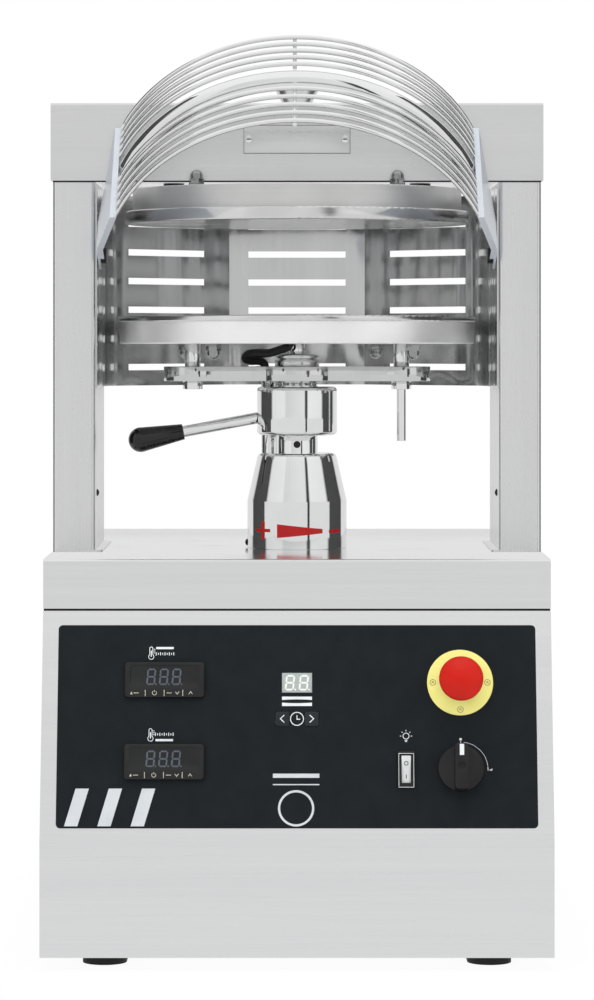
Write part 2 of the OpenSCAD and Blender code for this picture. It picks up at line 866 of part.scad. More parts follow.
module rear_guard() {
    left_half = [for (i = [len(rear_plan) - 1 : -1 : 0]) [-rear_plan[i][0], rear_plan[i][1]]];
    diag = rear_plan[3] - rear_plan[2];
    color("#a9abad") on_axis(deck_z + rear_bottom_h) difference() {
        linear_extrude(rear_h) folded(concat(rear_plan, left_half), rear_t);
        for (row = [0 : slot_rows - 1]) translate([0, 0, slot_first_h + row * slot_pitch]) {
            translate([0, rear_setback, 0]) slot_cut(slot_len);
            for (side = [-1, 1])
                translate([side * rear_plan[2][0], rear_plan[2][1], 0])
                    rotate([0, 0, side > 0 ? atan2(diag[1], diag[0]) : atan2(diag[1], -diag[0])])
                        translate([norm(diag) / 2 - slot_shift, 0, 0]) slot_cut(side_slot_len);
        }
        for (side = [-1, 1])
            translate([side * rear_wall_x, pivot_setback - axis_setback, pivot_h - rear_bottom_h])
                rotate([0, 90, 0]) cylinder(2 * overrun, r = bolt_collar_r + bolt_gap, center = true);
    }

    // One slot through the sheet, centred on it
    module slot_cut(length) {
        cube([length, 2 * overrun, slot_h], center = true);
    }
}

// Shouldered bolts that the guard swings on, one through each upright's inner wall
module guard_pivot_bolts() {
    wall_x = clear_span / 2;
    seat = rear_t + bolt_collar_t;
    grip = cheek_t + slip_gap;
    color("#2b2b2b") for (side = [-1, 1])
        translate([side * wall_x, pivot_y, pivot_z]) rotate([0, -side * 90, 0]) {
            translate([0, 0, -bolt_wall_reach]) cylinder(bolt_wall_reach + seat + grip, r = pivot_r);
            cylinder(seat, r = bolt_collar_r);
            translate([0, 0, seat + grip]) cylinder(bolt_head_t, r = bolt_head_r);
        }
}

// Upper plate

module upper_spacers() {
    color("#1e1e1e") on_axis(upright_top_z - spacer_h) at_corners(spacer_x, spacer_y)
        cylinder(spacer_h, r = spacer_r);
}

module at_caps(pcr, turn) {
    for (i = [0 : 3]) rotate([0, 0, turn + 90 * i]) translate([pcr, 0, 0]) children();
}

module upper_plate_cover() {
    color("#b8b9ba") on_axis(upper_cover_z) difference() {
        rotate_extrude() union() {
            square([upper_cover_r, upper_cover_h - disc_edge_r]);
            square([upper_cover_r - disc_edge_r, upper_cover_h]);
            translate([upper_cover_r - disc_edge_r, upper_cover_h - disc_edge_r]) circle(disc_edge_r);
        }
        translate([0, 0, -overrun])
            cylinder(upper_cover_h - plate_wall + overrun, r = upper_cover_r - plate_wall);
        at_caps(upper_cap_pcr, upper_cap_turn) cylinder(upper_cover_h + overrun, r = cap_stud_r + bolt_gap);
    }
}

// Disc with both edges rounded
module press_disc(r, t) {
    rotate_extrude() union() {
        translate([0, disc_edge_r]) square([r, t - 2 * disc_edge_r]);
        square([r - disc_edge_r, t]);
        for (z = [disc_edge_r, t - disc_edge_r]) translate([r - disc_edge_r, z]) circle(disc_edge_r);
    }
}

module upper_press_disc() {
    color("#dcdddd") on_axis(upper_disc_z) press_disc(upper_disc_r, upper_disc_t);
}

module heater(r) {
    for (share = heater_ring_shares) rotate_extrude() translate([r * share, 0]) circle(heater_r);
}

module upper_heater() {
    color("#6b4a36") on_axis(upper_cover_z + heater_r + heater_gap)
        heater(upper_cap_pcr - cap_stud_r - heater_r);
}

module upper_cap_nuts() {
    color("#d9dadb") on_axis(upper_cover_z + upper_cover_h) at_caps(upper_cap_pcr, upper_cap_turn)
        cap_nut(upper_cover_h);
}

// Column parts fixed to the tray

// Points of an arc, anticlockwise
function arc(centre, r, from, to, steps) =
    [for (i = [0 : steps]) let (a = from + (to - from) * i / steps) centre + r * [cos(a), sin(a)]];

// Turned bell: a straight foot, a cone and a rounded top edge
module bell_housing() {
    h = bell_top_z - deck_z;
    straight = h * bell_straight_share;
    slope = atan((bell_r - bell_top_r) / (h - straight));
    edge_centre = [bell_top_r + bell_edge_r * (tan(slope) - 1 / cos(slope)), h - bell_edge_r];
    mouth_r = ram_r + bell_mouth_gap;
    color("#dfe0e1") on_axis(deck_z) rotate_extrude() polygon(concat(
        [[bell_r, 0], [bell_r, straight]],
        arc(edge_centre, bell_edge_r, slope, 90, bell_edge_steps),
        [[mouth_r, h], [mouth_r, h - bell_wall], [bell_top_r - 2 * bell_wall, h - bell_wall],
         [bell_r - bell_wall, straight - bell_wall], [bell_r - bell_wall, 0]]
    ));
}

module ram_bush() {
    top = bell_top_z - deck_z - ram_bush_top_gap;
    bore_r = ram_r + run_gap;
    wall_r = ram_r + ram_bush_wall;
    color("#b08d57") on_axis(deck_z) rotate_extrude() polygon([
        [bore_r, -ram_bush_drop], [wall_r, -ram_bush_drop], [wall_r, 0], [ram_bush_flange_r, 0],
        [ram_bush_flange_r, ram_bush_flange_t], [wall_r, ram_bush_flange_t], [wall_r, top], [bore_r, top]
    ]);
}

module rod_bush() {
    bore_r = rod_r + run_gap;
    wall_r = rod_r + rod_bush_wall;
    color("#b08d57") on_axis(deck_z) translate([ear_x, ear_y, 0]) rotate_extrude() polygon([
        [bore_r, -rod_bush_drop], [wall_r, -rod_bush_drop], [wall_r, 0], [rod_flange_r, 0],
        [rod_flange_r, rod_flange_t], [bore_r, rod_flange_t]
    ]);
}

module gear_motor() {
    color("#5b6066") on_axis(base_top_z) difference() {
        union() {
            cylinder(motor_foot_t, r = motor_foot_r);
            cylinder(motor_h, r = motor_r);
            for (i = [0 : fin_count - 1]) rotate([0, 0, 360 / fin_count * i])
                translate([0, -fin_w / 2, 0]) cube([motor_r + fin_out, fin_w, motor_h]);
            translate([0, 0, motor_h]) cylinder(gearbox_h, r = gearbox_r);
            translate([0, 0, motor_h + gearbox_h]) cylinder(gearbox_boss_h, r = gearbox_boss_r);
        }
        translate([0, 0, motor_h + gearbox_h + gearbox_boss_h - screw_socket])
            cylinder(screw_socket + overrun, r = screw_r + run_gap);
    }
}

// Ram and drive

module ram() {
    h = collar_z - ram_bottom_z;
    top = spider_top_z - ram_bottom_z - ram_top_gap;
    color("#d6d7d8") on_axis(ram_bottom_z) rotate_extrude() polygon([
        [ram_bore_r, 0], [ram_r, 0], [ram_r, h], [ram_top_r, h], [ram_top_r, top], [0, top],
        [0, h - ram_bore_head], [ram_bore_r, h - ram_bore_head]
    ]);
}

module lift_nut() {
    color("#b08d57") on_axis(ram_bottom_z) rotate_extrude() polygon([
        [screw_r + run_gap, -nut_flange_t], [ram_r, -nut_flange_t], [ram_r, 0], [ram_bore_r, 0],
        [ram_bore_r, nut_len], [screw_r + run_gap, nut_len]
    ]);
}

module lift_screw() {
    top = ram_bottom_z + lift_stroke + nut_len + screw_over;
    bottom = gearbox_top - screw_socket;
    color("#9a9da0") on_axis(bottom) cylinder(top - bottom, r = screw_r);
}

// Lower plate and its carriage

module spider() {
    color("#cbcccd") on_axis(spider_z) difference() {
        linear_extrude(spider_t) union() {
            circle(hub_r);
            square([2 * post_reach, arm_w], center = true);
            for (side = [-1, 1]) translate([side * post_reach, 0]) circle(arm_r);
            strip([0, 0], [ear_x, ear_y], ear_w);
            translate([ear_x, ear_y]) circle(ear_r);
        }
        translate([0, 0, -overrun]) cylinder(spider_t + 2 * overrun, r = ram_top_r + run_gap);
        for (side = [-1, 1]) translate([side * post_reach, 0, -overrun])
            cylinder(spider_t + 2 * overrun, r = post_stud_r + bolt_gap);
        translate([ear_x, ear_y, -overrun]) cylinder(spider_t + 2 * overrun, r = rod_r + run_gap);
        lead_hole(lead_end());
    }
}

module thrust_bearing() {
    race_t = bearing_h * race_t_share;
    ball_r = (bearing_h - 2 * race_t) / 2 - ball_gap;
    pitch_r = (race_r + ram_top_r + run_gap) / 2;
    color("#c9cacb") on_axis(collar_top_z) {
        for (z = [0, bearing_h - race_t]) translate([0, 0, z]) ring(race_r, ram_top_r + slip_gap, race_t);
        for (i = [0 : ball_count - 1]) rotate([0, 0, 360 / ball_count * i])
            translate([pitch_r, 0, bearing_h / 2]) sphere(ball_r);
    }
}

// Ring nut that caps the column, with a groove round it
module ring_nut() {
    base = ring_nut_h * ring_base_share;
    rim_z = ring_nut_h - ring_edge_r;
    color("#bfc0c1") on_axis(spider_top_z) rotate_extrude() polygon([
        [0, 0], [ring_nut_r, 0], [ring_nut_r, base], [ring_groove_r, base],
        [ring_groove_r, base + ring_groove_w], [ring_nut_r, base + ring_groove_w],
        [ring_nut_r, rim_z], [ring_nut_r - ring_edge_r, ring_nut_h], [0, ring_nut_h]
    ]);
}

module plate_posts() {
    color("#dcdddd") on_axis(spider_top_z) {
        for (side = [-1, 1]) translate([side * post_reach, 0, 0]) cylinder(post_h, r = post_r);
        translate([0, 0, ring_nut_h]) cylinder(post_h - ring_nut_h, r = post_r);
    }
}

module post_fasteners() {
    color("#d5d6d7") on_axis(spider_z) {
        for (side = [-1, 1]) translate([side * post_reach, 0, 0]) {
            translate([0, 0, -post_nut_h]) hexagon(post_nut_af, post_nut_h);
            cylinder(spider_t, r = post_stud_r);
        }
        translate([post_reach, 0, -stop_stud_drop]) cylinder(stop_stud_drop, r = post_stud_r);
    }
}

module anti_rotation_rod() {
    color("#d9dadb") on_axis(spider_z - rod_drop) translate([ear_x, ear_y, 0])
        cylinder(rod_drop + spider_t, r = rod_r);
}

module lower_plate_body() {
    color("#c3c4c5") on_axis(lower_body_z) difference() {
        rotate_extrude() union() {
            translate([0, disc_edge_r]) square([lower_body_r, lower_body_h - disc_edge_r]);
            square([lower_body_r - disc_edge_r, lower_body_h]);
            translate([lower_body_r - disc_edge_r, disc_edge_r]) circle(disc_edge_r);
        }
        translate([0, 0, plate_wall]) cylinder(lower_body_h, r = lower_body_r - plate_wall);
        at_caps(lower_cap_pcr, lower_cap_turn) translate([0, 0, -overrun])
            cylinder(lower_body_h, r = cap_stud_r + bolt_gap);
        lead_hole(lead_route[0]);
    }
}

module lower_press_disc() {
    color("#dedfdf") on_axis(lower_disc_z) press_disc(lower_disc_r, lower_disc_t);
}

module lower_heater() {
    color("#6b4a36") on_axis(lower_disc_z - heater_r - heater_gap)
        heater(lower_cap_pcr - cap_stud_r - heater_r);
}

module lower_cap_nuts() {
    color("#d5d6d7") on_axis(lower_body_z) at_caps(lower_cap_pcr, lower_cap_turn)
        rotate([180, 0, 0]) cap_nut(lower_body_h);
}

function lead_end() = lead_route[len(lead_route) - 1];

// Hole that the lead passes through, cut down from the top of a wall and up from its bottom
module lead_hole(end) {
    translate([end[0], end[1], -overrun]) cylinder(spider_t + 2 * overrun, r = lead_r + lead_hole_gap);
}

// Smooth curve through the route's points
function spline(p, i, s) =
    let (a = p[max(i - 1, 0)], b = p[i], c = p[i + 1], d = p[min(i + 2, len(p) - 1)])
    (2 * b + (c - a) * s + (2 * a - 5 * b + 4 * c - d) * s * s + (3 * b - a - 3 * c + d) * s * s * s) / 2;

function unit(v) = v / norm(v);

module heater_lead() {
    last = len(lead_route) - 1;
    path = concat(
        [for (i = [0 : last - 1], s = [0 : lead_steps - 1]) spline(lead_route, i, s / lead_steps)],
        [lead_route[last]]
    );
    n = len(path);
    aside = [0, 1, 0];
    rings = [for (i = [0 : n - 1])
        let (along = unit(path[min(i + 1, n - 1)] - path[max(i - 1, 0)]),
             u = unit(cross(aside, along)), v = cross(along, u))
        for (k = [0 : lead_sides - 1])
            path[i] + lead_r * (cos(360 * k / lead_sides) * u + sin(360 * k / lead_sides) * v)];
    walls = [for (i = [0 : n - 2], k = [0 : lead_sides - 1])
        let (a = i * lead_sides + k, b = i * lead_sides + (k + 1) % lead_sides)
        each [[a, a + lead_sides, b], [b, a + lead_sides, b + lead_sides]]];
    start_cap = [for (k = [1 : lead_sides - 2]) [0, k, k + 1]];
    end_first = (n - 1) * lead_sides;
    end_cap = [for (k = [1 : lead_sides - 2]) [end_first, end_first + k + 1, end_first + k]];
    color("#101010") on_axis(spider_top_z) polyhedron(rings, concat(walls, start_cap, end_cap));
}

// Adjusting collar and lever

// Frame of the lever: z runs out along the rod from the collar's inside
module on_lever() {
    on_axis(collar_top_z - lever_root_drop) rotate([0, -90 - lever_droop, 0]) children();
}

// Distance along the lever from the press axis to its tip and to the grip
function lever_tip() = lever_reach / cos(lever_droop);
function grip_start() = lever_tip() - grip_len;

module adjusting_collar() {
    edge = collar_edge_r;
    color("#dadbdc") difference() {
        on_axis(collar_z) rotate_extrude() difference() {
            union() {
                translate([0, edge]) square([collar_r, collar_h - 2 * edge]);
                square([collar_r - edge, collar_h]);
                for (z = [edge, collar_h - edge]) translate([collar_r - edge, z]) circle(edge);
            }
            translate([0, -overrun]) square([ram_top_r + run_gap, collar_h + 2 * overrun]);
        }
        on_lever() translate([0, 0, lever_root_r]) cylinder(collar_r, r = lever_r + run_gap);
        on_lever() translate([0, 0, collar_r - lever_scoop_out]) cylinder(collar_r, r = lever_scoop_r);
    }
}

module lever_rod() {
    color("#d9dadb") on_lever() translate([0, 0, lever_root_r])
        cylinder(grip_start() + lever_in_grip - lever_root_r, r = lever_r);
}

module lever_grip() {
    ball_z = grip_len - grip_end_r;
    color("#0d0d0d") on_lever() translate([0, 0, grip_start()]) difference() {
        union() {
            cylinder(ball_z, r1 = grip_neck_r, r2 = grip_end_r);
            translate([0, 0, ball_z]) sphere(grip_end_r);
        }
        translate([0, 0, -overrun]) cylinder(lever_in_grip + grip_tip_gap + overrun, r = lever_r + run_gap);
    }
}

// Front guard

// Sheet cheek: a front strip, a slanted web and an eye, trimmed to the side outline, with a flange
// turned inwards along the lower edge
module cheek(side) {
    start = [guard_half_w, cheek_corner[1]];
    eye = [cheek_eye_x, cheek_eye_r];
    inward = [cheek_flange_w / 2, 0];
    top = guard_top_h + cheek_overlap;
    bottom = -guard_low_h - cheek_overlap;
    upper_edge = [for (share = cheek_edge_shares) [-cheek_reach * share[0], top * share[1]]];
    low_front = [-cheek_reach, bottom];
    low_back = [-cheek_eye_r, -cheek_eye_r + (bottom + cheek_eye_r) * cheek_eye_r / cheek_reach];
    color("#c8d0d8") on_guard() difference() {
        union() {
            intersection() {
                upright_sheet() folded([start, cheek_corner, cheek_bend, eye], cheek_t);
                across(clear_span) {
                    circle(cheek_eye_r);
                    polygon(concat(
                        [[0, cheek_eye_r]], upper_edge, [[-cheek_reach, top], low_front, [0, -cheek_eye_r]]
                    ));
                }
            }
            intersection() {
                upright_sheet()
                    folded([for (p = [cheek_corner, cheek_bend, eye]) p - inward], cheek_flange_w);
                across(clear_span)
                    polygon([low_front, low_back, low_back + [0, cheek_t], low_front + [0, cheek_t]]);
            }
        }
        rotate([0, 90, 0]) cylinder(clear_span, r = pivot_r + run_gap, center = true);
    }

    // The given plan as a tall sheet, on the cheek's own side
    module upright_sheet() {
        translate([0, 0, bottom]) linear_extrude(top - bottom) mirror([side < 0 ? 1 : 0, 0, 0]) children();
    }
}

module guard_left_cheek() {
    cheek(-1);
}

module guard_right_cheek() {
    cheek(1);
}

// Arc of the given section at height h above the pivot, inside the wires' bow by the given distance
module bow_arc(h, inside, half_sweep) {
    translate([0, bow_r - bow_apex, h]) rotate([0, 0, -90 - half_sweep])
        rotate_extrude(angle = 2 * half_sweep) translate([bow_r - inside, 0]) children();
}

// Bow of a wire between the cheeks' strips
module bow(h) {
    intersection() {
        bow_arc(h, 0, asin(guard_half_w / bow_r) + bow_spare_angle) children();
        cube([2 * guard_half_w, 3 * bow_r, 3 * bow_r], center = true);
    }
}

// Half width between the cheeks' webs at the distance y from the pivot
function web_half(y) =
    let (run = cheek_bend - cheek_corner)
    cheek_corner[0] + run[0] * (y - cheek_corner[1]) / run[1] - cheek_t / 2 * norm(run) / run[1];

// Tube that the guard is lifted by, with its ends set against the cheeks' webs
module guard_tube() {
    front = -bow_apex;
    back = -cheek_reach + tube_end_back;
    color("#e2e3e4") on_guard() intersection() {
        bow_arc(-guard_tube_drop, guard_tube_back, 90) difference() {
            circle(guard_tube_r);
            circle(guard_tube_r - guard_tube_wall);
        }
        translate([0, 0, -guard_tube_drop - guard_tube_r - overrun])
            linear_extrude(2 * (guard_tube_r + overrun)) polygon([
                [-web_half(front), front - overrun], [web_half(front), front - overrun],
                [web_half(front), front], [web_half(back), back], [-web_half(back), back],
                [-web_half(front), front]
            ]);
    }
}

// Two sets of wires, above and below the tube, each tied by a cross wire at the middle
module guard_wires() {
    low = [for (i = [0 : lower_wires - 1]) -guard_low_h + i * wire_pitch];
    high = [for (share = upper_wire_shares) guard_top_h - upper_wire_span * share];
    color("#dfe0e1") on_guard() for (group = [low, high]) {
        for (h = group) bow(h) circle(wire_r);
        translate([cross_wire_x, -bow_apex + 2 * wire_r - cross_wire_bite, min(group) - wire_r])
            cylinder(max(group) - min(group) + 2 * wire_r, r = wire_r);
    }
}

// Control panel

module control_fascia() {
    color("#24272a") on_panel(0, 0) linear_extrude(fascia_t) difference() {
        translate([0, -fascia_top - fascia_h / 2]) rounded_rect(fascia_w, fascia_h, fascia_corner_r);
        panel_holes();
    }
}

module thermostat(t) {
    color("#15171a") on_panel(thermostat_x, t) difference() {
        union() {
            translate([0, 0, fascia_t]) linear_extrude(thermostat_proud)
                rounded_rect(thermostat_w, thermostat_h, thermostat_corner_r);
            translate([0, 0, -thermostat_depth]) linear_extrude(thermostat_depth + fascia_t)
                square([thermostat_body_w, thermostat_body_h], center = true);
        }
        translate([0, thermostat_lens_up, fascia_t + thermostat_proud - thermostat_lens_d])
            linear_extrude(overrun) rounded_rect(thermostat_lens_w, thermostat_lens_h, thermostat_corner_r);
    }
}

module upper_thermostat() {
    thermostat(thermostat_upper_t);
}

module lower_thermostat() {
    thermostat(thermostat_lower_t);
}

module timer_module() {
    color("#9fa8a6") {
        on_panel(0, timer_case_t) translate([0, 0, -sheet_t - timer_case_d]) linear_extrude(timer_case_d)
            square([timer_case_w, timer_case_h], center = true);
        on_panel(0, timer_t) translate([0, 0, -sheet_t - timer_case_d / 2])
            linear_extrude(timer_case_d / 2 + sheet_t + fascia_t)
                square([timer_w, timer_h], center = true);
    }
}

module timer_key(side) {
    bottom = -sheet_t + key_travel + key_seat_gap;
    color("#33373b") on_panel(side * key_x, key_t) translate([0, 0, bottom])
        linear_extrude(fascia_t + key_proud - bottom) rounded_rect(key_w, key_h, key_corner_r);
}

module timer_down_key() {
    timer_key(-1);
}

module timer_up_key() {
    timer_key(1);
}

function stop_face() = fascia_t + stop_disc_t;

module stop_disc() {
    color("#f2ee8a") on_panel(switch_x, stop_t) translate([0, 0, fascia_t])
        ring(stop_disc_r, stop_barrel_r + bolt_gap, stop_disc_t);
}

module stop_body() {
    bore_z = fascia_t - stop_plunger_in - stop_travel - slip_gap;
    color("#2a2a2a") on_panel(switch_x, stop_t) difference() {
        union() {
            translate([0, 0, -stop_barrel_depth])
                cylinder(stop_barrel_depth + stop_face(), r = stop_barrel_r);
            translate([0, 0, stop_face()]) cylinder(stop_bezel_h, r = stop_bezel_r);
        }
        translate([0, 0, bore_z]) cylinder(stop_barrel_depth, r = stop_plunger_r + run_gap);
    }
}

// Underside of the stop button's head, above the fascia
function stop_skirt_z() = stop_head_h - stop_dome_h - stop_skirt_h - stop_socket_depth / 2;

module stop_plunger() {
    top = stop_skirt_z() + stop_socket_depth;
    color("#8a1a14") on_panel(switch_x, stop_t) translate([0, 0, fascia_t - stop_plunger_in])
        cylinder(top + stop_plunger_in, r = stop_plunger_r);
}

module stop_head() {
    socket_r = stop_plunger_r + run_gap;
    rim = stop_socket_depth / 2;
    dome_r = (pow(stop_head_r, 2) + pow(stop_dome_h, 2)) / (2 * stop_dome_h);
    flat = rim + stop_skirt_h;
    color("#c8231a") on_panel(switch_x, stop_t) translate([0, 0, fascia_t + stop_skirt_z()]) difference() {
        union() {
            cylinder(rim, r1 = stop_waist_r, r2 = stop_head_r);
            translate([0, 0, rim]) cylinder(stop_skirt_h, r = stop_head_r);
            intersection() {
                translate([0, 0, flat + stop_dome_h - dome_r]) sphere(dome_r);
                translate([0, 0, flat]) cylinder(stop_dome_h, r = stop_head_r);
            }
        }
        translate([0, 0, -overrun]) cylinder(stop_socket_depth + overrun, r = socket_r);
    }
}

module main_switch_body() {
    shaft_top = fascia_t + knob_gap + knob_bore_depth;
    color("#202224") on_panel(switch_x, knob_t) {
        translate([0, 0, -sheet_t - switch_case_d]) linear_extrude(switch_case_d)
            square(switch_case_w, center = true);
        translate([0, 0, -sheet_t]) cylinder(sheet_t + shaft_top, r = switch_shaft_r);
    }
}

module main_knob() {
    color("#141414") on_panel(switch_x, knob_t) translate([0, 0, fascia_t + knob_gap]) difference() {
        union() {
            cylinder(knob_disc_h, r = knob_r);
            linear_extrude(knob_h) rounded_rect(knob_bar_w, 2 * knob_r, knob_bar_corner_r);
        }
        translate([0, 0, -overrun]) cylinder(knob_bore_depth + overrun, r = switch_shaft_r + run_gap);
        translate([0, 0, knob_h - knob_screw_depth]) cylinder(overrun, r = knob_screw_r);
    }
}

module rocker_frame() {
    well_w = rocker_w + 2 * rocker_side_gap;
    well_h = rocker_h + 2 * rocker_side_gap;
    color("#1a1b1c") on_panel(rocker_x, knob_t) difference() {
        union() {
            translate([0, 0, fascia_t]) linear_extrude(rocker_frame_t)
                rounded_rect(rocker_frame_w, rocker_frame_h, rocker_corner_r);
            translate([0, 0, -rocker_body_d]) linear_extrude(rocker_body_d + fascia_t)
                square([rocker_body_w, rocker_body_h], center = true);
        }
        translate([0, 0, -rocker_well]) linear_extrude(2 * rocker_well)
            square([well_w, well_h], center = true);
    }
}

// Rocker, tipped to its resting side, with a crease between its two faces
module light_rocker() {
    half = rocker_h / 2;
    face = fascia_t + rocker_frame_t;
    drop = half * tan(rocker_tilt);
    color("#e9eaea") on_panel(rocker_x, knob_t) rotate([rocker_tilt, 0, 0]) across(rocker_w) polygon([
        [-half * cos(rocker_tilt), face - rocker_edge_h + drop], [0, face - rocker_edge_h],
        [half * cos(rocker_tilt), face - rocker_edge_h + drop], [half * cos(rocker_tilt), 0],
        [0, -rocker_keel], [-half * cos(rocker_tilt), 0]
    ]);
}

base_plate();
rubber_feet();
cabinet_shell();
back_panel();
cable_gland();
case_screws();
top_tray();
left_upright();
right_upright();
cross_beam();
header_cover();
name_plate();
crown_nut();
rear_guard();
guard_pivot_bolts();
upper_spacers();
upper_plate_cover();
upper_press_disc();
upper_heater();
upper_cap_nuts();
bell_housing();
ram_bush();
rod_bush();
gear_motor();
control_fascia();
upper_thermostat();
lower_thermostat();
timer_module();
stop_body();
stop_disc();
rocker_frame();
main_switch_body();
ram();
lift_nut();
lift_screw();
spider();
thrust_bearing();
ring_nut();
plate_posts();
post_fasteners();
anti_rotation_rod();
lower_plate_body();
lower_press_disc();
lower_heater();
lower_cap_nuts();
heater_lead();
adjusting_collar();
lever_rod();
lever_grip();
guard_left_cheek();
guard_right_cheek();
guard_tube();
guard_wires();
stop_plunger();
stop_head();
main_knob();
light_rocker();
timer_down_key();
timer_up_key();
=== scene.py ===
import json
import math

import bpy
from mathutils import Matrix, Vector


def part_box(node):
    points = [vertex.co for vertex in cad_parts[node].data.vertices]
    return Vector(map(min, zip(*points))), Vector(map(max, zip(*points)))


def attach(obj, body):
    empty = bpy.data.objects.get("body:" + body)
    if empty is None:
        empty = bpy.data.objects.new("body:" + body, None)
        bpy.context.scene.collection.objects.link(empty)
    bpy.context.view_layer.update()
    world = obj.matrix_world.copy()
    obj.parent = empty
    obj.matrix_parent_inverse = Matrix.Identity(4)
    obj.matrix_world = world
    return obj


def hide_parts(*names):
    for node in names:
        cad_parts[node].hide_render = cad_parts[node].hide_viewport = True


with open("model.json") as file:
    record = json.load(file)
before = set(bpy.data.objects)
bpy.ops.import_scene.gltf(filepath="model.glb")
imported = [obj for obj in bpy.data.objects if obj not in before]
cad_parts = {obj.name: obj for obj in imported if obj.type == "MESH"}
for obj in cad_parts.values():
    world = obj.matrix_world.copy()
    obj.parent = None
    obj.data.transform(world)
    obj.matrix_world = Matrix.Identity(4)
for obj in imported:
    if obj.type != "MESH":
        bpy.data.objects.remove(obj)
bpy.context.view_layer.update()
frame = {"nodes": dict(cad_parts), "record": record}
nodes = frame["nodes"]
bodyOf = {}
for bodyName, members in frame["record"]["behaviour"]["bodies"].items():
    for member in members:
        bodyOf[member] = bodyName
mm = 0.001
print("dough press frame loaded,", len(nodes), "solids")

# places that the rest is hung on, read from the frame
trayLow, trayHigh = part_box("top_tray")
cabinetLow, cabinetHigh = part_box("cabinet_shell")
discLow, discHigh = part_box("lower_press_disc")
pressAxis = Vector((0, (discLow.y + discHigh.y) / 2, 0))

# sloped control panel: its fold is at foldZ, it ends in the shadow gap under the tray, and its prints stand
# printOut mm off its sheet, just clear of the fascia
panel = {"foldZ": 117 * mm, "shadowGap": 2 * mm, "printOut": 1.04}
panelTopZ = trayLow.z - panel["shadowGap"]
panelAngle = math.atan2(trayLow.y - cabinetLow.y, panelTopZ - panel["foldZ"])


# helpers for modelling; an edge that turns by more than crispAngle degrees stays crisp
crispAngle = 35


def deselectAll():
    bpy.ops.object.select_all(action="DESELECT")


def activate(obj):
    deselectAll()
    obj.select_set(True)
    bpy.context.view_layer.objects.active = obj


def editMesh(obj):
    activate(obj)
    bpy.ops.object.mode_set(mode="EDIT")
    bpy.ops.mesh.select_all(action="SELECT")


def leaveEdit():
    bpy.ops.object.mode_set(mode="OBJECT")


def applyAll(obj):
    activate(obj)
    for modifier in list(obj.modifiers):
        bpy.ops.object.modifier_apply(modifier=modifier.name)


def addBevel(obj, width, segments=2):
    modifier = obj.modifiers.new("edge", "BEVEL")
    modifier.width = width
    modifier.segments = segments
    modifier.limit_method = "ANGLE"
    modifier.angle_limit = math.radians(crispAngle)
    modifier.miter_outer = "MITER_ARC"


def smooth(obj, angle=crispAngle):
    activate(obj)
    bpy.ops.object.shade_smooth_by_angle(angle=math.radians(angle))


def linkNew(name, data):
    obj = bpy.data.objects.new(name, data)
    bpy.context.scene.collection.objects.link(obj)
    return obj


# place on the panel at x across and t down the slope, lifted off its sheet; y runs up the slope, z out of it
def onPanel(x, t, out=0.0):
    along = Vector((x, -t * math.sin(panelAngle), -t * math.cos(panelAngle))) * mm
    turn = Matrix.Rotation(math.pi / 2 - panelAngle, 4, "X")
    lift = Matrix.Translation((0, 0, out * mm))
    return Matrix.Translation(Vector((0, trayLow.y, panelTopZ)) + along) @ turn @ lift


def onFascia(x, t):
    return onPanel(x, t, panel["printOut"])


def place(obj, matrix):
    obj.data.transform(matrix)
    obj.data.update()
    return obj


def paint(obj, material):
    obj.data.materials.clear()
    obj.data.materials.append(material)


def addPiece(obj, body, material):
    paint(obj, material)
    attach(obj, body)


# camera at the photograph's place: level, in line with the press axis, aimed by its shift
cameraView = {"lens": 133.92, "sensor": 36, "distance": 3.4, "eyeZ": 0.5677, "shiftY": -0.158, "reach": 50}


def setCamera():
    deselectAll()
    where = (0, trayLow.y - cameraView["distance"], cameraView["eyeZ"])
    bpy.ops.object.camera_add(location=where, rotation=(math.pi / 2, 0, 0))
    camera = bpy.context.object
    camera.name = "photoCamera"
    camera.data.lens = cameraView["lens"]
    camera.data.sensor_width = cameraView["sensor"]
    camera.data.sensor_fit = "AUTO"
    camera.data.shift_y = cameraView["shiftY"]
    camera.data.clip_end = cameraView["reach"]
    bpy.context.scene.camera = camera


setCamera()
bpy.context.scene.view_settings.view_transform = "Standard"
print("camera set")


# studio: white world to the camera, a room with soft boxes and dark gaps to the polished metal
studio = {
    "ambient": 0.66,
    # brightness of the room by compass angle: 0 is behind the camera, 90 to its right, 180 behind the press
    "walls": [(-180, 0.84), (-130, 0.82), (-122, 0.04), (-80, 0.03), (-74, 0.86), (-36, 0.92), (-31, 0.74),
              (0, 0.82), (21, 0.86), (24, 0.10), (29, 0.10), (32, 0.95), (74, 0.90), (80, 0.03), (122, 0.04),
              (130, 0.82), (180, 0.84)],
    "ceiling": 1.0,
    "ceilingFrom": (0.3, 0.75),
    "lamps": [
        {"name": "topBox", "at": (0.0, -0.9, 2.3), "aim": (0, 0, 0.5), "size": (1.8, 1.4), "power": 24},
        {"name": "leftBox", "at": (-1.9, -1.7, 1.2), "aim": (0, 0, 0.45), "size": (0.9, 1.6), "power": 15},
        {"name": "rightBox", "at": (2.0, -1.5, 1.1), "aim": (0, 0, 0.45), "size": (0.9, 1.6), "power": 11},
    ],
    # black cloths that only polished metal shows: two compass angles and the distance from the press axis
    "cloths": {"left": (-122, -80, 1.45), "right": (80, 122, 1.45), "narrow": (24, 29, 3.0)},
    "clothHeight": 2.2,
    "clothTone": 0.06,
    "clothRough": 0.9,
    "floorSize": 12.0,
    "floorTone": 0.97,
    # how far from the cabinet the shadow runs out, how much of it the camera sees, and the mirrored floor
    "shadowReach": 0.09,
    "shadowLeft": 0.06,
    "floorMirrored": 0.82,
}


def link(tree, fromSocket, toSocket):
    tree.links.new(fromSocket, toSocket)


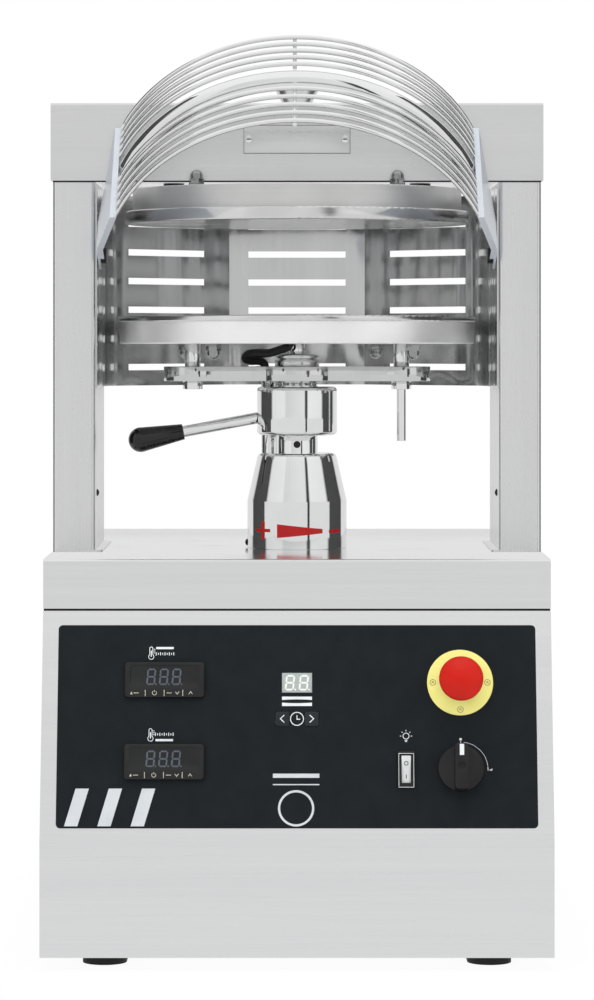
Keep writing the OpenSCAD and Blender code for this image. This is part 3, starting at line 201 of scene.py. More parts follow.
def mathNode(tree, operation, first, second=None):
    node = tree.nodes.new("ShaderNodeMath")
    node.operation = operation
    for socket, value in zip(node.inputs, (first, second)):
        if value is None:
            continue
        if isinstance(value, (int, float)):
            socket.default_value = value
        else:
            link(tree, value, socket)
    return node.outputs[0]


def lightWorld():
    world = bpy.data.worlds.new("studioWorld")
    bpy.context.scene.world = world
    world.use_nodes = True
    tree = world.node_tree
    tree.nodes.clear()
    coords = tree.nodes.new("ShaderNodeTexCoord")
    split = tree.nodes.new("ShaderNodeSeparateXYZ")
    link(tree, coords.outputs["Generated"], split.inputs[0])
    behind = mathNode(tree, "MULTIPLY", split.outputs["Y"], -1.0)
    compass = mathNode(tree, "ARCTAN2", split.outputs["X"], behind)
    walls = tree.nodes.new("ShaderNodeValToRGB")
    turns = mathNode(tree, "ADD", mathNode(tree, "DIVIDE", compass, 2 * math.pi), 0.5)
    link(tree, turns, walls.inputs["Fac"])
    stops = walls.color_ramp.elements
    stops[1].position = 1.0
    for angle, level in studio["walls"]:
        position = angle / 360 + 0.5
        edge = {0.0: 0, 1.0: len(stops) - 1}.get(position)
        stop = stops.new(position) if edge is None else stops[edge]
        stop.color = (level, level, level, 1)
    upward = tree.nodes.new("ShaderNodeMapRange")
    upward.interpolation_type = "SMOOTHSTEP"
    upward.inputs["From Min"].default_value, upward.inputs["From Max"].default_value = studio["ceilingFrom"]
    link(tree, split.outputs["Z"], upward.inputs["Value"])
    room = tree.nodes.new("ShaderNodeMix")
    room.data_type = "RGBA"
    link(tree, upward.outputs[0], room.inputs["Factor"])
    link(tree, walls.outputs["Color"], room.inputs["A"])
    room.inputs["B"].default_value = (studio["ceiling"],) * 3 + (1,)
    rays = tree.nodes.new("ShaderNodeLightPath")
    ambient = tree.nodes.new("ShaderNodeBackground")
    ambient.inputs["Color"].default_value = (studio["ambient"],) * 3 + (1,)
    mirrored = tree.nodes.new("ShaderNodeBackground")
    link(tree, room.outputs["Result"], mirrored.inputs["Color"])
    white = tree.nodes.new("ShaderNodeBackground")
    white.inputs["Color"].default_value = (1, 1, 1, 1)
    glossy = tree.nodes.new("ShaderNodeMixShader")
    link(tree, rays.outputs["Is Glossy Ray"], glossy.inputs["Fac"])
    link(tree, ambient.outputs[0], glossy.inputs[1])
    link(tree, mirrored.outputs[0], glossy.inputs[2])
    seen = mathNode(tree, "MAXIMUM", rays.outputs["Is Camera Ray"], rays.outputs["Is Transmission Ray"])
    final = tree.nodes.new("ShaderNodeMixShader")
    link(tree, seen, final.inputs["Fac"])
    link(tree, glossy.outputs[0], final.inputs[1])
    link(tree, white.outputs[0], final.inputs[2])
    output = tree.nodes.new("ShaderNodeOutputWorld")
    link(tree, final.outputs[0], output.inputs["Surface"])


def hangLamps():
    for lamp in studio["lamps"]:
        deselectAll()
        bpy.ops.object.light_add(type="AREA", location=lamp["at"])
        obj = bpy.context.object
        obj.name = lamp["name"]
        obj.rotation_euler = (Vector(lamp["aim"]) - Vector(lamp["at"])).to_track_quat("-Z", "Y").to_euler()
        obj.data.shape = "RECTANGLE"
        obj.data.size, obj.data.size_y = lamp["size"]
        obj.data.energy = lamp["power"]
        obj.visible_glossy = False


# pale floor that keeps the shadow near the press and runs out to white
def layFloor():
    deselectAll()
    bpy.ops.mesh.primitive_circle_add(vertices=96, radius=studio["floorSize"], fill_type="NGON")
    floor = bpy.context.object
    floor.name = "studioFloor"
    material = bpy.data.materials.new("paleFloor")
    material.use_nodes = True
    tree = material.node_tree
    tree.nodes.clear()
    coords = tree.nodes.new("ShaderNodeTexCoord")
    split = tree.nodes.new("ShaderNodeSeparateXYZ")
    link(tree, coords.outputs["Object"], split.inputs[0])
    middleY = (cabinetLow.y + cabinetHigh.y) / 2
    asideX = mathNode(tree, "SUBTRACT", mathNode(tree, "ABSOLUTE", split.outputs["X"]), cabinetHigh.x)
    fromMiddle = mathNode(tree, "ABSOLUTE", mathNode(tree, "SUBTRACT", split.outputs["Y"], middleY))
    asideY = mathNode(tree, "SUBTRACT", fromMiddle, cabinetHigh.y - middleY)
    fade = tree.nodes.new("ShaderNodeMapRange")
    fade.interpolation_type = "SMOOTHSTEP"
    fade.inputs["From Max"].default_value = studio["shadowReach"]
    fade.inputs["To Min"].default_value = 1 - studio["shadowLeft"]
    link(tree, mathNode(tree, "MAXIMUM", asideX, asideY), fade.inputs["Value"])
    pale = tree.nodes.new("ShaderNodeBsdfDiffuse")
    pale.inputs["Color"].default_value = (studio["floorTone"],) * 3 + (1,)
    white = tree.nodes.new("ShaderNodeEmission")
    rays = tree.nodes.new("ShaderNodeLightPath")
    dimmed = mathNode(tree, "MULTIPLY", rays.outputs["Is Glossy Ray"], 1 - studio["floorMirrored"])
    link(tree, mathNode(tree, "SUBTRACT", 1.0, dimmed), white.inputs["Strength"])
    seen = mathNode(tree, "MAXIMUM", rays.outputs["Is Camera Ray"], rays.outputs["Is Glossy Ray"])
    seen = mathNode(tree, "MAXIMUM", seen, rays.outputs["Is Transmission Ray"])
    mix = tree.nodes.new("ShaderNodeMixShader")
    link(tree, mathNode(tree, "MULTIPLY", seen, fade.outputs[0]), mix.inputs["Fac"])
    link(tree, pale.outputs[0], mix.inputs[1])
    link(tree, white.outputs[0], mix.inputs[2])
    output = tree.nodes.new("ShaderNodeOutputMaterial")
    link(tree, mix.outputs[0], output.inputs["Surface"])
    paint(floor, material)


# upright cloths that give polished metal its dark bands, and that nothing else shows
def hangCloths():
    material = bpy.data.materials.new("blackCloth")
    material.use_nodes = True
    shader = material.node_tree.nodes["Principled BSDF"]
    shader.inputs["Base Color"].default_value = (studio["clothTone"],) * 3 + (1,)
    shader.inputs["Roughness"].default_value = studio["clothRough"]
    rise = Vector((0, 0, studio["clothHeight"]))
    for label, (fromAngle, toAngle, away) in studio["cloths"].items():
        feet = []
        for angle in (fromAngle, toAngle):
            turn = math.radians(angle)
            feet.append(pressAxis + Vector((math.sin(turn), -math.cos(turn), 0)) * away)
        deselectAll()
        bpy.ops.mesh.primitive_plane_add(size=1)
        cloth = bpy.context.object
        cloth.name = label + "Cloth"
        for vertex in cloth.data.vertices:
            vertex.co = feet[0].lerp(feet[1], vertex.co.x + 0.5) + rise * (vertex.co.y + 0.5)
        paint(cloth, material)
        cloth.visible_camera = False
        cloth.visible_diffuse = False
        cloth.visible_shadow = False
        cloth.visible_transmission = False


lightWorld()
hangLamps()
layFloor()
hangCloths()
print("studio lit")


# shader groups that several finishes share; noise lies mostly within noiseSpan
noiseSpan = (0.3, 0.7)


def newGroup(name, inputs, outputs):
    group = bpy.data.node_groups.new(name, "ShaderNodeTree")
    for label, kind, value in inputs:
        socket = group.interface.new_socket(name=label, in_out="INPUT", socket_type=kind)
        if value is not None:
            socket.default_value = value
    for label in outputs:
        group.interface.new_socket(name=label, in_out="OUTPUT", socket_type="NodeSocketFloat")
    return group, group.nodes.new("NodeGroupInput"), group.nodes.new("NodeGroupOutput")


def noiseNode(tree, vector, scale, detail=3.0, roughness=0.6):
    node = tree.nodes.new("ShaderNodeTexNoise")
    node.inputs["Detail"].default_value = detail
    node.inputs["Roughness"].default_value = roughness
    if isinstance(scale, (int, float)):
        node.inputs["Scale"].default_value = scale
    else:
        link(tree, scale, node.inputs["Scale"])
    link(tree, vector, node.inputs["Vector"])
    return node.outputs["Fac"]


def rangeNode(tree, value, low, high, toLow=0.0, toHigh=1.0, soft=False):
    node = tree.nodes.new("ShaderNodeMapRange")
    if soft:
        node.interpolation_type = "SMOOTHSTEP"
    for label, number in (("From Min", low), ("From Max", high), ("To Min", toLow), ("To Max", toHigh)):
        if isinstance(number, (int, float)):
            node.inputs[label].default_value = number
        else:
            link(tree, number, node.inputs[label])
    link(tree, value, node.inputs["Value"])
    return node.outputs[0]


# slow change over the surface, at a share of the group's scale
def driftNoise(group, start, share, detail):
    scale = mathNode(group, "MULTIPLY", start.outputs["Scale"], share)
    return noiseNode(group, start.outputs["Vector"], scale, detail)


# fine lines left by the abrasive belt; the vector comes in already stretched along the grain
def makeBrushedGrain():
    inputs = [("Vector", "NodeSocketVector", None), ("Scale", "NodeSocketFloat", 1.0)]
    group, start, end = newGroup("brushedGrain", inputs, ["Streak", "Drift"])
    fine = noiseNode(group, start.outputs["Vector"], start.outputs["Scale"], detail=4.0, roughness=0.7)
    broad = driftNoise(group, start, share=0.08, detail=2.0)
    link(group, rangeNode(group, fine, *noiseSpan), end.inputs["Streak"])
    link(group, rangeNode(group, broad, *noiseSpan), end.inputs["Drift"])
    return group


# rings left by the lathe, round the vector's own z axis
def makeTurnedRings():
    inputs = [("Vector", "NodeSocketVector", None), ("Scale", "NodeSocketFloat", 900.0)]
    group, start, end = newGroup("turnedRings", inputs, ["Streak", "Drift"])
    split = group.nodes.new("ShaderNodeSeparateXYZ")
    link(group, start.outputs["Vector"], split.inputs[0])
    flat = group.nodes.new("ShaderNodeCombineXYZ")
    link(group, split.outputs["X"], flat.inputs["X"])
    link(group, split.outputs["Y"], flat.inputs["Y"])
    reach = group.nodes.new("ShaderNodeVectorMath")
    reach.operation = "LENGTH"
    link(group, flat.outputs[0], reach.inputs[0])
    ringPoint = group.nodes.new("ShaderNodeCombineXYZ")
    link(group, reach.outputs["Value"], ringPoint.inputs["X"])
    link(group, split.outputs["Z"], ringPoint.inputs["Z"])
    fine = noiseNode(group, ringPoint.outputs[0], start.outputs["Scale"], detail=3.0, roughness=0.7)
    broad = driftNoise(group, start, share=0.02, detail=2.0)
    link(group, rangeNode(group, fine, *noiseSpan), end.inputs["Streak"])
    link(group, rangeNode(group, broad, *noiseSpan), end.inputs["Drift"])
    return group


# cloudy patches left by hands and cloths
def makeHandlingMarks():
    inputs = [("Vector", "NodeSocketVector", None), ("Scale", "NodeSocketFloat", 14.0),
              ("Edge", "NodeSocketFloat", 0.5)]
    group, start, end = newGroup("handlingMarks", inputs, ["Mask"])
    cloud = noiseNode(group, start.outputs["Vector"], start.outputs["Scale"], detail=5.0, roughness=0.55)
    fade = 0.25
    top = mathNode(group, "ADD", start.outputs["Edge"], fade)
    link(group, rangeNode(group, cloud, start.outputs["Edge"], top, soft=True), end.inputs["Mask"])
    return group


# pebbled skin of moulded plastic, rubber and printed film
def makeMouldedGrain():
    inputs = [("Vector", "NodeSocketVector", None), ("Scale", "NodeSocketFloat", 2500.0)]
    group, start, end = newGroup("mouldedGrain", inputs, ["Height", "Tone"])
    fine = noiseNode(group, start.outputs["Vector"], start.outputs["Scale"], detail=2.0, roughness=0.5)
    broad = driftNoise(group, start, share=0.015, detail=3.0)
    link(group, rangeNode(group, fine, low=0.25, high=0.75), end.inputs["Height"])
    link(group, rangeNode(group, broad, *noiseSpan), end.inputs["Tone"])
    return group


brushedGrain = makeBrushedGrain()
turnedRings = makeTurnedRings()
handlingMarks = makeHandlingMarks()
mouldedGrain = makeMouldedGrain()


def groupNode(tree, group, vector, **values):
    node = tree.nodes.new("ShaderNodeGroup")
    node.node_tree = group
    link(tree, vector, node.inputs["Vector"])
    for label, number in values.items():
        node.inputs[label].default_value = number
    return node


def colorMix(tree, factor, first, second):
    node = tree.nodes.new("ShaderNodeMix")
    node.data_type = "RGBA"
    link(tree, factor, node.inputs["Factor"])
    node.inputs["A"].default_value = (*first, 1)
    node.inputs["B"].default_value = (*second, 1)
    return node.outputs["Result"]


def objectVector(tree, stretch=(1, 1, 1), centre=(0, 0, 0)):
    coords = tree.nodes.new("ShaderNodeTexCoord")
    mapping = tree.nodes.new("ShaderNodeMapping")
    mapping.inputs["Scale"].default_value = stretch
    mapping.inputs["Location"].default_value = [-c * s for c, s in zip(centre, stretch)]
    link(tree, coords.outputs["Object"], mapping.inputs["Vector"])
    return mapping.outputs["Vector"]


def bumpNode(tree, shader, height, strength, distance):
    node = tree.nodes.new("ShaderNodeBump")
    node.inputs["Strength"].default_value = strength
    node.inputs["Distance"].default_value = distance
    link(tree, height, node.inputs["Height"])
    link(tree, node.outputs["Normal"], shader.inputs["Normal"])


def newFinish(name):
    material = bpy.data.materials.new(name)
    material.use_nodes = True
    return material, material.node_tree, material.node_tree.nodes["Principled BSDF"]


# handling marks by scale and edge, the depth in m of the grain and of the moulded skin, and how slowly the
# buckles of a sheet change up its height
steelMarks = {"Scale": 17.0, "Edge": 0.52}
plasticMarks = {"Scale": 60.0, "Edge": 0.5}
plasticDulling = 0.05
grainDepth = 0.0004
skinDepth = 0.0002
buckleRise = 1.5


# steel with a grain: tone and gloss follow its lines, and handling marks dull it in patches. A buckled sheet
# has broad waves instead of the grain's relief
def steelFinish(name, dark, light, rough, stretch=None, turned=False, bump=0.04, marks=0.06, grainScale=1.0,
                metal=1.0, buckle=0.0, wave=24):
    material, tree, shader = newFinish(name)
    shader.inputs["Metallic"].default_value = metal
    if turned:
        vector = objectVector(tree, centre=pressAxis)
        grain = groupNode(tree, turnedRings, vector, Scale=grainScale)
    else:
        grain = groupNode(tree, brushedGrain, objectVector(tree, stretch), Scale=grainScale)
    marksNode = groupNode(tree, handlingMarks, objectVector(tree), **steelMarks)
    both = mathNode(tree, "ADD", grain.outputs["Streak"], grain.outputs["Drift"])
    tone = mathNode(tree, "MULTIPLY", both, 0.5)
    link(tree, colorMix(tree, tone, dark, light), shader.inputs["Base Color"])
    gloss = rangeNode(tree, grain.outputs["Streak"], 0.0, 1.0, rough[0], rough[1])
    dulled = mathNode(tree, "ADD", gloss, mathNode(tree, "MULTIPLY", marksNode.outputs["Mask"], marks))
    link(tree, dulled, shader.inputs["Roughness"])
    if buckle:
        waves = noiseNode(tree, objectVector(tree, (wave, wave, buckleRise)), scale=1.0, detail=1.0)
        bumpNode(tree, shader, waves, strength=1.0, distance=buckle)
    else:
        bumpNode(tree, shader, grain.outputs["Streak"], bump, grainDepth)
    return material


# moulded, painted or printed surface: its tone drifts, and handling marks dull it in patches
def plasticFinish(name, dark, light, rough, grainScale, bump, shine=0.5):
    material, tree, shader = newFinish(name)
    shader.inputs["Specular IOR Level"].default_value = shine
    skin = groupNode(tree, mouldedGrain, objectVector(tree), Scale=grainScale)
    marksNode = groupNode(tree, handlingMarks, objectVector(tree), **plasticMarks)
    link(tree, colorMix(tree, skin.outputs["Tone"], dark, light), shader.inputs["Base Color"])
    worn = rangeNode(tree, marksNode.outputs["Mask"], 0.0, 1.0, rough, rough + plasticDulling)
    link(tree, worn, shader.inputs["Roughness"])
    bumpNode(tree, shader, skin.outputs["Height"], bump, skinDepth)
    return material


finish = {
    "sheetX": steelFinish("satinSheet", (0.79, 0.797, 0.804), (0.86, 0.863, 0.866), (0.26, 0.34),
                          (5, 420, 420), bump=0.02),
    "header": steelFinish("satinHeader", (0.70, 0.705, 0.71), (0.77, 0.77, 0.77), (0.26, 0.34),
                          (5, 420, 420), bump=0.02),
    "sheetZ": steelFinish("satinUpright", (0.72, 0.725, 0.73), (0.79, 0.79, 0.79), (0.24, 0.32),
                          (420, 420, 5), bump=0.02),
    "tray": steelFinish("trayTop", (0.74, 0.745, 0.75), (0.82, 0.82, 0.82), (0.13, 0.18), (4, 300, 300),
                        bump=0.01),
    "guardSheet": steelFinish("slottedSheet", (0.53, 0.535, 0.54), (0.64, 0.64, 0.64), (0.1, 0.16),
                              (90, 90, 3), buckle=0.02, wave=13),
    "cheek": steelFinish("cheekSheet", (0.56, 0.60, 0.65), (0.63, 0.66, 0.71), (0.3, 0.4), (300, 300, 5),
                         bump=0.01, metal=0.6),
    "polished": steelFinish("polishedSteel", (0.80, 0.805, 0.81), (0.86, 0.86, 0.86), (0.03, 0.05),
                            (60, 60, 60), bump=0.0, marks=0.03),
    "turned": steelFinish("turnedCover", (0.60, 0.60, 0.595), (0.70, 0.70, 0.695), (0.36, 0.44), turned=True,
                          bump=0.03, grainScale=1400.0, metal=0.75),
    "rim": steelFinish("turnedRim", (0.80, 0.80, 0.80), (0.88, 0.88, 0.88), (0.3, 0.38), turned=True,
                       bump=0.02, grainScale=1400.0, metal=0.6),
    "platen": steelFinish("polishedPlaten", (0.70, 0.70, 0.70), (0.78, 0.78, 0.78), (0.16, 0.22),
                          turned=True, bump=0.01, grainScale=1800.0),
    "spider": steelFinish("milledSpider", (0.6, 0.605, 0.61), (0.72, 0.72, 0.72), (0.05, 0.09), (40, 40, 6),
                          buckle=0.004),
    "nut": steelFinish("platedNut", (0.30, 0.305, 0.31), (0.38, 0.38, 0.38), (0.06, 0.1), (60, 60, 60),
                       bump=0.0),
    "machined": steelFinish("machinedSteel", (0.62, 0.625, 0.63), (0.71, 0.71, 0.71), (0.16, 0.24),
                            (260, 260, 260), bump=0.01),
    "beam": steelFinish("glowingBeamSteel", (0.84, 0.84, 0.84), (0.9, 0.9, 0.9), (0.35, 0.5), (6, 200, 200),
                        metal=0.3),
    "blackened": steelFinish("blackenedBolt", (0.02, 0.02, 0.022), (0.05, 0.05, 0.055), (0.3, 0.42),
                             (400, 400, 400)),
    "bronze": steelFinish("bushBronze", (0.40, 0.27, 0.13), (0.52, 0.36, 0.18), (0.25, 0.4), turned=True,
                          grainScale=1200.0),
    "heater": steelFinish("heaterTube", (0.16, 0.11, 0.08), (0.26, 0.18, 0.13), (0.4, 0.55),
                          (200, 200, 200)),
    "motor": plasticFinish("motorPaint", (0.09, 0.10, 0.11), (0.13, 0.14, 0.15), 0.45, 900.0, 0.15),
    "rubber": plasticFinish("footRubber", (0.008, 0.008, 0.008), (0.016, 0.016, 0.016), 0.62, 1500.0, 0.25,
                            shine=0.3),
    "black": plasticFinish("mouldedBlack", (0.007, 0.007, 0.008), (0.013, 0.013, 0.014), 0.36, 2600.0, 0.10,
                           shine=0.3),
    "grip": plasticFinish("gripBlack", (0.004, 0.004, 0.005), (0.008, 0.008, 0.009), 0.14, 3000.0, 0.02),
    "fascia": plasticFinish("fasciaFilm", (0.0078, 0.0105, 0.0128), (0.0104, 0.0135, 0.0160), 0.55,
                            3200.0, 0.05, shine=0.12),
    "display": plasticFinish("displayLens", (0.004, 0.0045, 0.005), (0.008, 0.0085, 0.009), 0.09,
                             3000.0, 0.0, shine=0.4),
    "timer": plasticFinish("timerWindow", (0.34, 0.385, 0.385), (0.39, 0.43, 0.43), 0.30, 2000.0, 0.01,
                           shine=0.2),
    "key": plasticFinish("keyFilm", (0.019, 0.022, 0.025), (0.023, 0.026, 0.029), 0.5, 3200.0, 0.05,
                         shine=0.15),
    "yellow": plasticFinish("stopYellow", (0.84, 0.79, 0.24), (0.89, 0.84, 0.27), 0.42, 2400.0, 0.05,
                            shine=0.3),
    "red": plasticFinish("stopRed", (0.49, 0.009, 0.003), (0.57, 0.013, 0.005), 0.42, 2200.0, 0.06,
                         shine=0.2),
    "rocker": plasticFinish("rockerWhite", (0.62, 0.65, 0.64), (0.70, 0.73, 0.72), 0.28, 2600.0, 0.04),
    "print": plasticFinish("palePrint", (0.70, 0.73, 0.74), (0.76, 0.79, 0.80), 0.5, 3200.0, 0.02,
                           shine=0.2),
    "stripe": plasticFinish("stripePrint", (0.54, 0.57, 0.59), (0.60, 0.63, 0.65), 0.5, 3200.0, 0.02,
                            shine=0.2),
    "redMark": plasticFinish("redMark", (0.46, 0.010, 0.010), (0.54, 0.014, 0.014), 0.3, 3000.0, 0.02,
                             shine=0.3),
    "darkPrint": plasticFinish("darkPrint", (0.03, 0.03, 0.02), (0.05, 0.05, 0.03), 0.5, 3000.0, 0.02),
    "keyPrint": plasticFinish("keyPrint", (0.46, 0.44, 0.34), (0.52, 0.50, 0.40), 0.4, 3000.0, 0.0,
                              shine=0.2),
    "segment": plasticFinish("segmentGrey", (0.075, 0.09, 0.115), (0.095, 0.11, 0.14), 0.3, 3000.0, 0.0,
                             shine=0.2),
    "lit": plasticFinish("segmentPale", (0.74, 0.77, 0.68), (0.80, 0.83, 0.74), 0.3, 3000.0, 0.0,
                         shine=0.2),
    "sheath": plasticFinish("leadSheath", (0.006, 0.006, 0.006), (0.012, 0.012, 0.012), 0.5, 1800.0, 0.2,
                            shine=0.3),
}
# painted light: the whole beam glows evenly, though it is no lamp
# its underside is seen only in the gap above the upper plate, and the glow stands in for light coming
# through from behind
beamPaintedGlow = 0.4
beamShader = finish["beam"].node_tree.nodes["Principled BSDF"]
beamShader.inputs["Emission Color"].default_value = (1, 1, 1, 1)
beamShader.inputs["Emission Strength"].default_value = beamPaintedGlow
print("finishes mixed,", len(finish))


# every solid gets its finish: "inner" ones stay as they are, "smooth" ones are merged and smoothed, and a
# number is the width in mm of the eased edges of a merged copy
dressing = {
    "base_plate": ("sheetX", "inner"), "rubber_feet": ("rubber", 1.2),
    "cabinet_shell": ("sheetX", "smooth"), "back_panel": ("sheetX", "smooth"),
    "cable_gland": ("black", 0.6), "case_screws": ("blackened", 0.3), "top_tray": ("tray", "smooth"),
    "left_upright": ("sheetZ", "smooth"), "right_upright": ("sheetZ", "smooth"),
    "cross_beam": ("beam", "smooth"), "header_cover": ("header", "smooth"), "name_plate": ("header", 0.3),
    "crown_nut": ("polished", 0.8), "rear_guard": ("guardSheet", "smooth"),
    "guard_pivot_bolts": ("blackened", 0.5), "upper_spacers": ("black", 0.4),
    "upper_plate_cover": ("turned", "smooth"), "upper_press_disc": ("platen", "smooth"),
    "upper_heater": ("heater", "inner"), "upper_cap_nuts": ("nut", 0.5), "bell_housing": ("polished", 0.3),
    "ram_bush": ("bronze", "inner"), "rod_bush": ("bronze", 0.4), "gear_motor": ("motor", "inner"),
    "control_fascia": ("fascia", "smooth"), "upper_thermostat": ("display", 0.9),
    "lower_thermostat": ("display", 0.9), "timer_module": ("timer", 0.2), "stop_body": ("black", 0.6),
    "stop_disc": ("yellow", 0.25), "rocker_frame": ("black", 0.5), "main_switch_body": ("black", "inner"),
    "ram": ("polished", 0.5), "lift_nut": ("bronze", "inner"), "lift_screw": ("machined", "inner"),
    "spider": ("spider", 1.0), "thrust_bearing": ("machined", "smooth"), "ring_nut": ("machined", 0.4),
    "plate_posts": ("polished", 0.5), "post_fasteners": ("polished", 0.6),
    "anti_rotation_rod": ("polished", 0.6), "lower_plate_body": ("rim", "smooth"),
    "lower_press_disc": ("platen", "smooth"), "lower_heater": ("heater", "inner"),
    "lower_cap_nuts": ("nut", 0.5), "heater_lead": ("sheath", "smooth"),
    "adjusting_collar": ("polished", 0.4), "lever_rod": ("polished", 0.4), "lever_grip": ("grip", 0.5),
    "guard_left_cheek": ("cheek", 0.35), "guard_right_cheek": ("cheek", 0.35),
    "guard_tube": ("polished", "smooth"), "guard_wires": ("polished", "smooth"),
    "stop_plunger": ("red", 0.4), "stop_head": ("red", 1.4), "main_knob": ("black", 0.9),
    "light_rocker": ("rocker", 0.45), "timer_down_key": ("key", 0.35), "timer_up_key": ("key", 0.35),
}
# solids with their own crisp angle
crispAt = {"bell_housing": 9}
# points closer than the distance in mm are merged, and faces flatter than the angle in degrees are joined
merge = {"distance": 0.01, "angle": 0.5}


def mergedCopy(node, edge, material):
    piece = linkNew("dressed_" + node, nodes[node].data.copy())
    editMesh(piece)
    bpy.ops.mesh.remove_doubles(threshold=merge["distance"] * mm)
    if edge != "smooth":
        bpy.ops.mesh.dissolve_limited(angle_limit=math.radians(merge["angle"]))
    leaveEdit()
    if piece.data.has_custom_normals:
        bpy.ops.mesh.customdata_custom_splitnormals_clear()
    if edge != "smooth":
        addBevel(piece, edge * mm)
        applyAll(piece)
    smooth(piece, crispAt.get(node, crispAngle))
    addPiece(piece, bodyOf[node], material)
    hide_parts(node)
    return piece


dressed = {}
for solid, (finishName, edgeWidth) in dressing.items():
    if edgeWidth == "inner":
        paint(nodes[solid], finish[finishName])
    else:
        dressed[solid] = mergedCopy(solid, edgeWidth, finish[finishName])
# mirrors between the uprights show the black cloths instead of them
for solid in ("left_upright", "right_upright"):
    dressed[solid].visible_glossy = False
print("solids dressed")


# flat outlines in mm that the printed marks are drawn from

def barOutline(x, y, width, height, lean=0.0):
    corners = [(-0.5, -0.5), (0.5, -0.5), (0.5, 0.5), (-0.5, 0.5)]
    return [(x + width * u + lean * v, y + height * v) for u, v in corners]


def arcPoints(x, y, radius, start, end, steps=24):
    angles = [math.radians(start + (end - start) * i / steps) for i in range(steps + 1)]
    return [(x + radius * math.cos(a), y + radius * math.sin(a)) for a in angles]


def circleOutline(x, y, radius, steps=40):
    return arcPoints(x, y, radius, 0, 360, steps)[:-1]


def ringOutlines(x, y, radius, stroke):
    return [circleOutline(x, y, radius + stroke / 2), circleOutline(x, y, radius - stroke / 2)]


def arcOutline(x, y, radius, stroke, start, end):
    outer = arcPoints(x, y, radius + stroke / 2, start, end)
    inner = arcPoints(x, y, radius - stroke / 2, end, start)
    return outer + inner


# run of straight strokes as one outline, mitred at its corners
def strokeOutline(points, width):
    runs = [(Vector(b) - Vector(a)).normalized() for a, b in zip(points, points[1:])]
    sides = [Vector((-run.y, run.x)) for run in runs]
    left, right = [], []
    for i, point in enumerate(points):
        before, after = sides[max(i - 1, 0)], sides[min(i, len(sides) - 1)]
        mitre = (before + after) / (1 + before.dot(after)) * (width / 2)
        left.append((point[0] + mitre.x, point[1] + mitre.y))
        right.append((point[0] - mitre.x, point[1] - mitre.y))
    return left + right[::-1]


# seven bars and a point, leaning to the right, all of them shown
def digitOutlines(x, y, size):
    high, reach, half = size["height"] / 2, size["width"] / 2, size["stroke"] / 2
    gap, lean = size["gap"], size["lean"]
    inset = half + gap
    bars = []
    for level in (-high, 0, high):
        bars.append([(-reach + gap, level), (-reach + inset, level + half), (reach - inset, level + half),
                     (reach - gap, level), (reach - inset, level - half), (-reach + inset, level - half)])
    for side in (-reach, reach):
        for low, top in ((-high, 0), (0, high)):
            bars.append([(side, low + gap), (side + half, low + inset), (side + half, top - inset),
                         (side, top - gap), (side - half, top - inset), (side - half, low + inset)])
    bars.append(circleOutline(reach + size["pointAway"] * half, -high, half))
    return [[(x + px + lean * py, y + py) for px, py in bar] for bar in bars]


# prints are this thick in mm, and their points are merged within this distance in mm
printSheet = {"thickness": 0.08, "merge": 0.001}


def printPlate(name, outlines, thickness=printSheet["thickness"]):
    curve = bpy.data.curves.new(name, "CURVE")
    curve.dimensions = "2D"
    curve.fill_mode = "BOTH"
    curve.extrude = thickness / 2 * mm
    for outline in outlines:
        spline = curve.splines.new("POLY")
        spline.points.add(len(outline) - 1)
        for point, (x, y) in zip(spline.points, outline):
            point.co = (x * mm, y * mm, 0, 1)
        spline.use_cyclic_u = True
    activate(linkNew(name, curve))
    bpy.ops.object.convert(target="MESH")
    plate = bpy.context.object
    editMesh(plate)
    bpy.ops.mesh.remove_doubles(threshold=printSheet["merge"] * mm)
    leaveEdit()
    return plate


def addPrint(name, outlines, where, finishName="print", body="frame"):
    addPiece(place(printPlate(name, outlines), where), body, finish[finishName])


# thermometer: a glass outline with its column, and ticks beside it
thermometer = {"height": 11.4, "bulb": 2.4, "tube": 1.4, "stroke": 0.6, "column": 0.9, "columnTop": 2.4,
               "tick": 1.4, "tickAway": 1.6, "tickY": (0.2, 1.9, 3.6)}


def thermometerOutlines(glass):
    stroke = glass["stroke"]
    low = -glass["height"] / 2 + glass["bulb"]
    top = glass["height"] / 2 - glass["tube"]
    tickX = glass["tube"] + glass["tickAway"]

    def shell(grow):
        bulb, tube = glass["bulb"] + grow, glass["tube"] + grow
        lean = math.degrees(math.asin(tube / bulb))
        return arcPoints(0, low, bulb, 90 + lean, 450 - lean) + arcPoints(0, top, tube, 0, 180)

    ticks = [barOutline(tickX, y, glass["tick"], stroke) for y in glass["tickY"]]
    column = strokeOutline([(0, low), (0, glass["columnTop"])], glass["column"])
    return [shell(stroke / 2), shell(-stroke / 2), column] + ticks


# thermostats: thermometer, bar and ticks above each, figures on its lens and marks on its touch keys
thermostats = {
    "x": -120.3, "lensOut": 4.44, "faceOut": 5.04, "glassX": -132.8, "bar": (15.9, 2.0),
    # places down the slope: middle of the front, thermometer, bar and ticks
    "rows": {"upper": (64, 39.2, 34.5, 39.8), "lower": (138.7, 113.9, 118.7, 113.4)},
    "ticks": {"reach": 8, "pitch": 2, "width": 0.7, "long": 3.0, "short": 1.8},
    "digitX": (-12.2, -0.7, 10.8), "digitY": 2.6,
    "digit": {"height": 13.6, "width": 6.6, "stroke": 1.5, "lean": 0.08, "gap": 0.25, "pointAway": 2.4},
}
keyMarks = {
    "y": -12.2, "stroke": 0.6, "dividerX": (-17.5, -0.3, 16.6), "dividerHeight": 5.6,
    "triangleX": -30, "triangle": 1.2, "dashX": (-25.6, 4.2), "dash": 4.6,
    "powerX": -9.1, "powerRadius": 1.9, "powerStroke": 0.5, "powerArc": (125, 415), "powerRise": 1.7,
    "downX": 11.6, "upX": 23.7, "arrow": (1.7, 1.1),
}


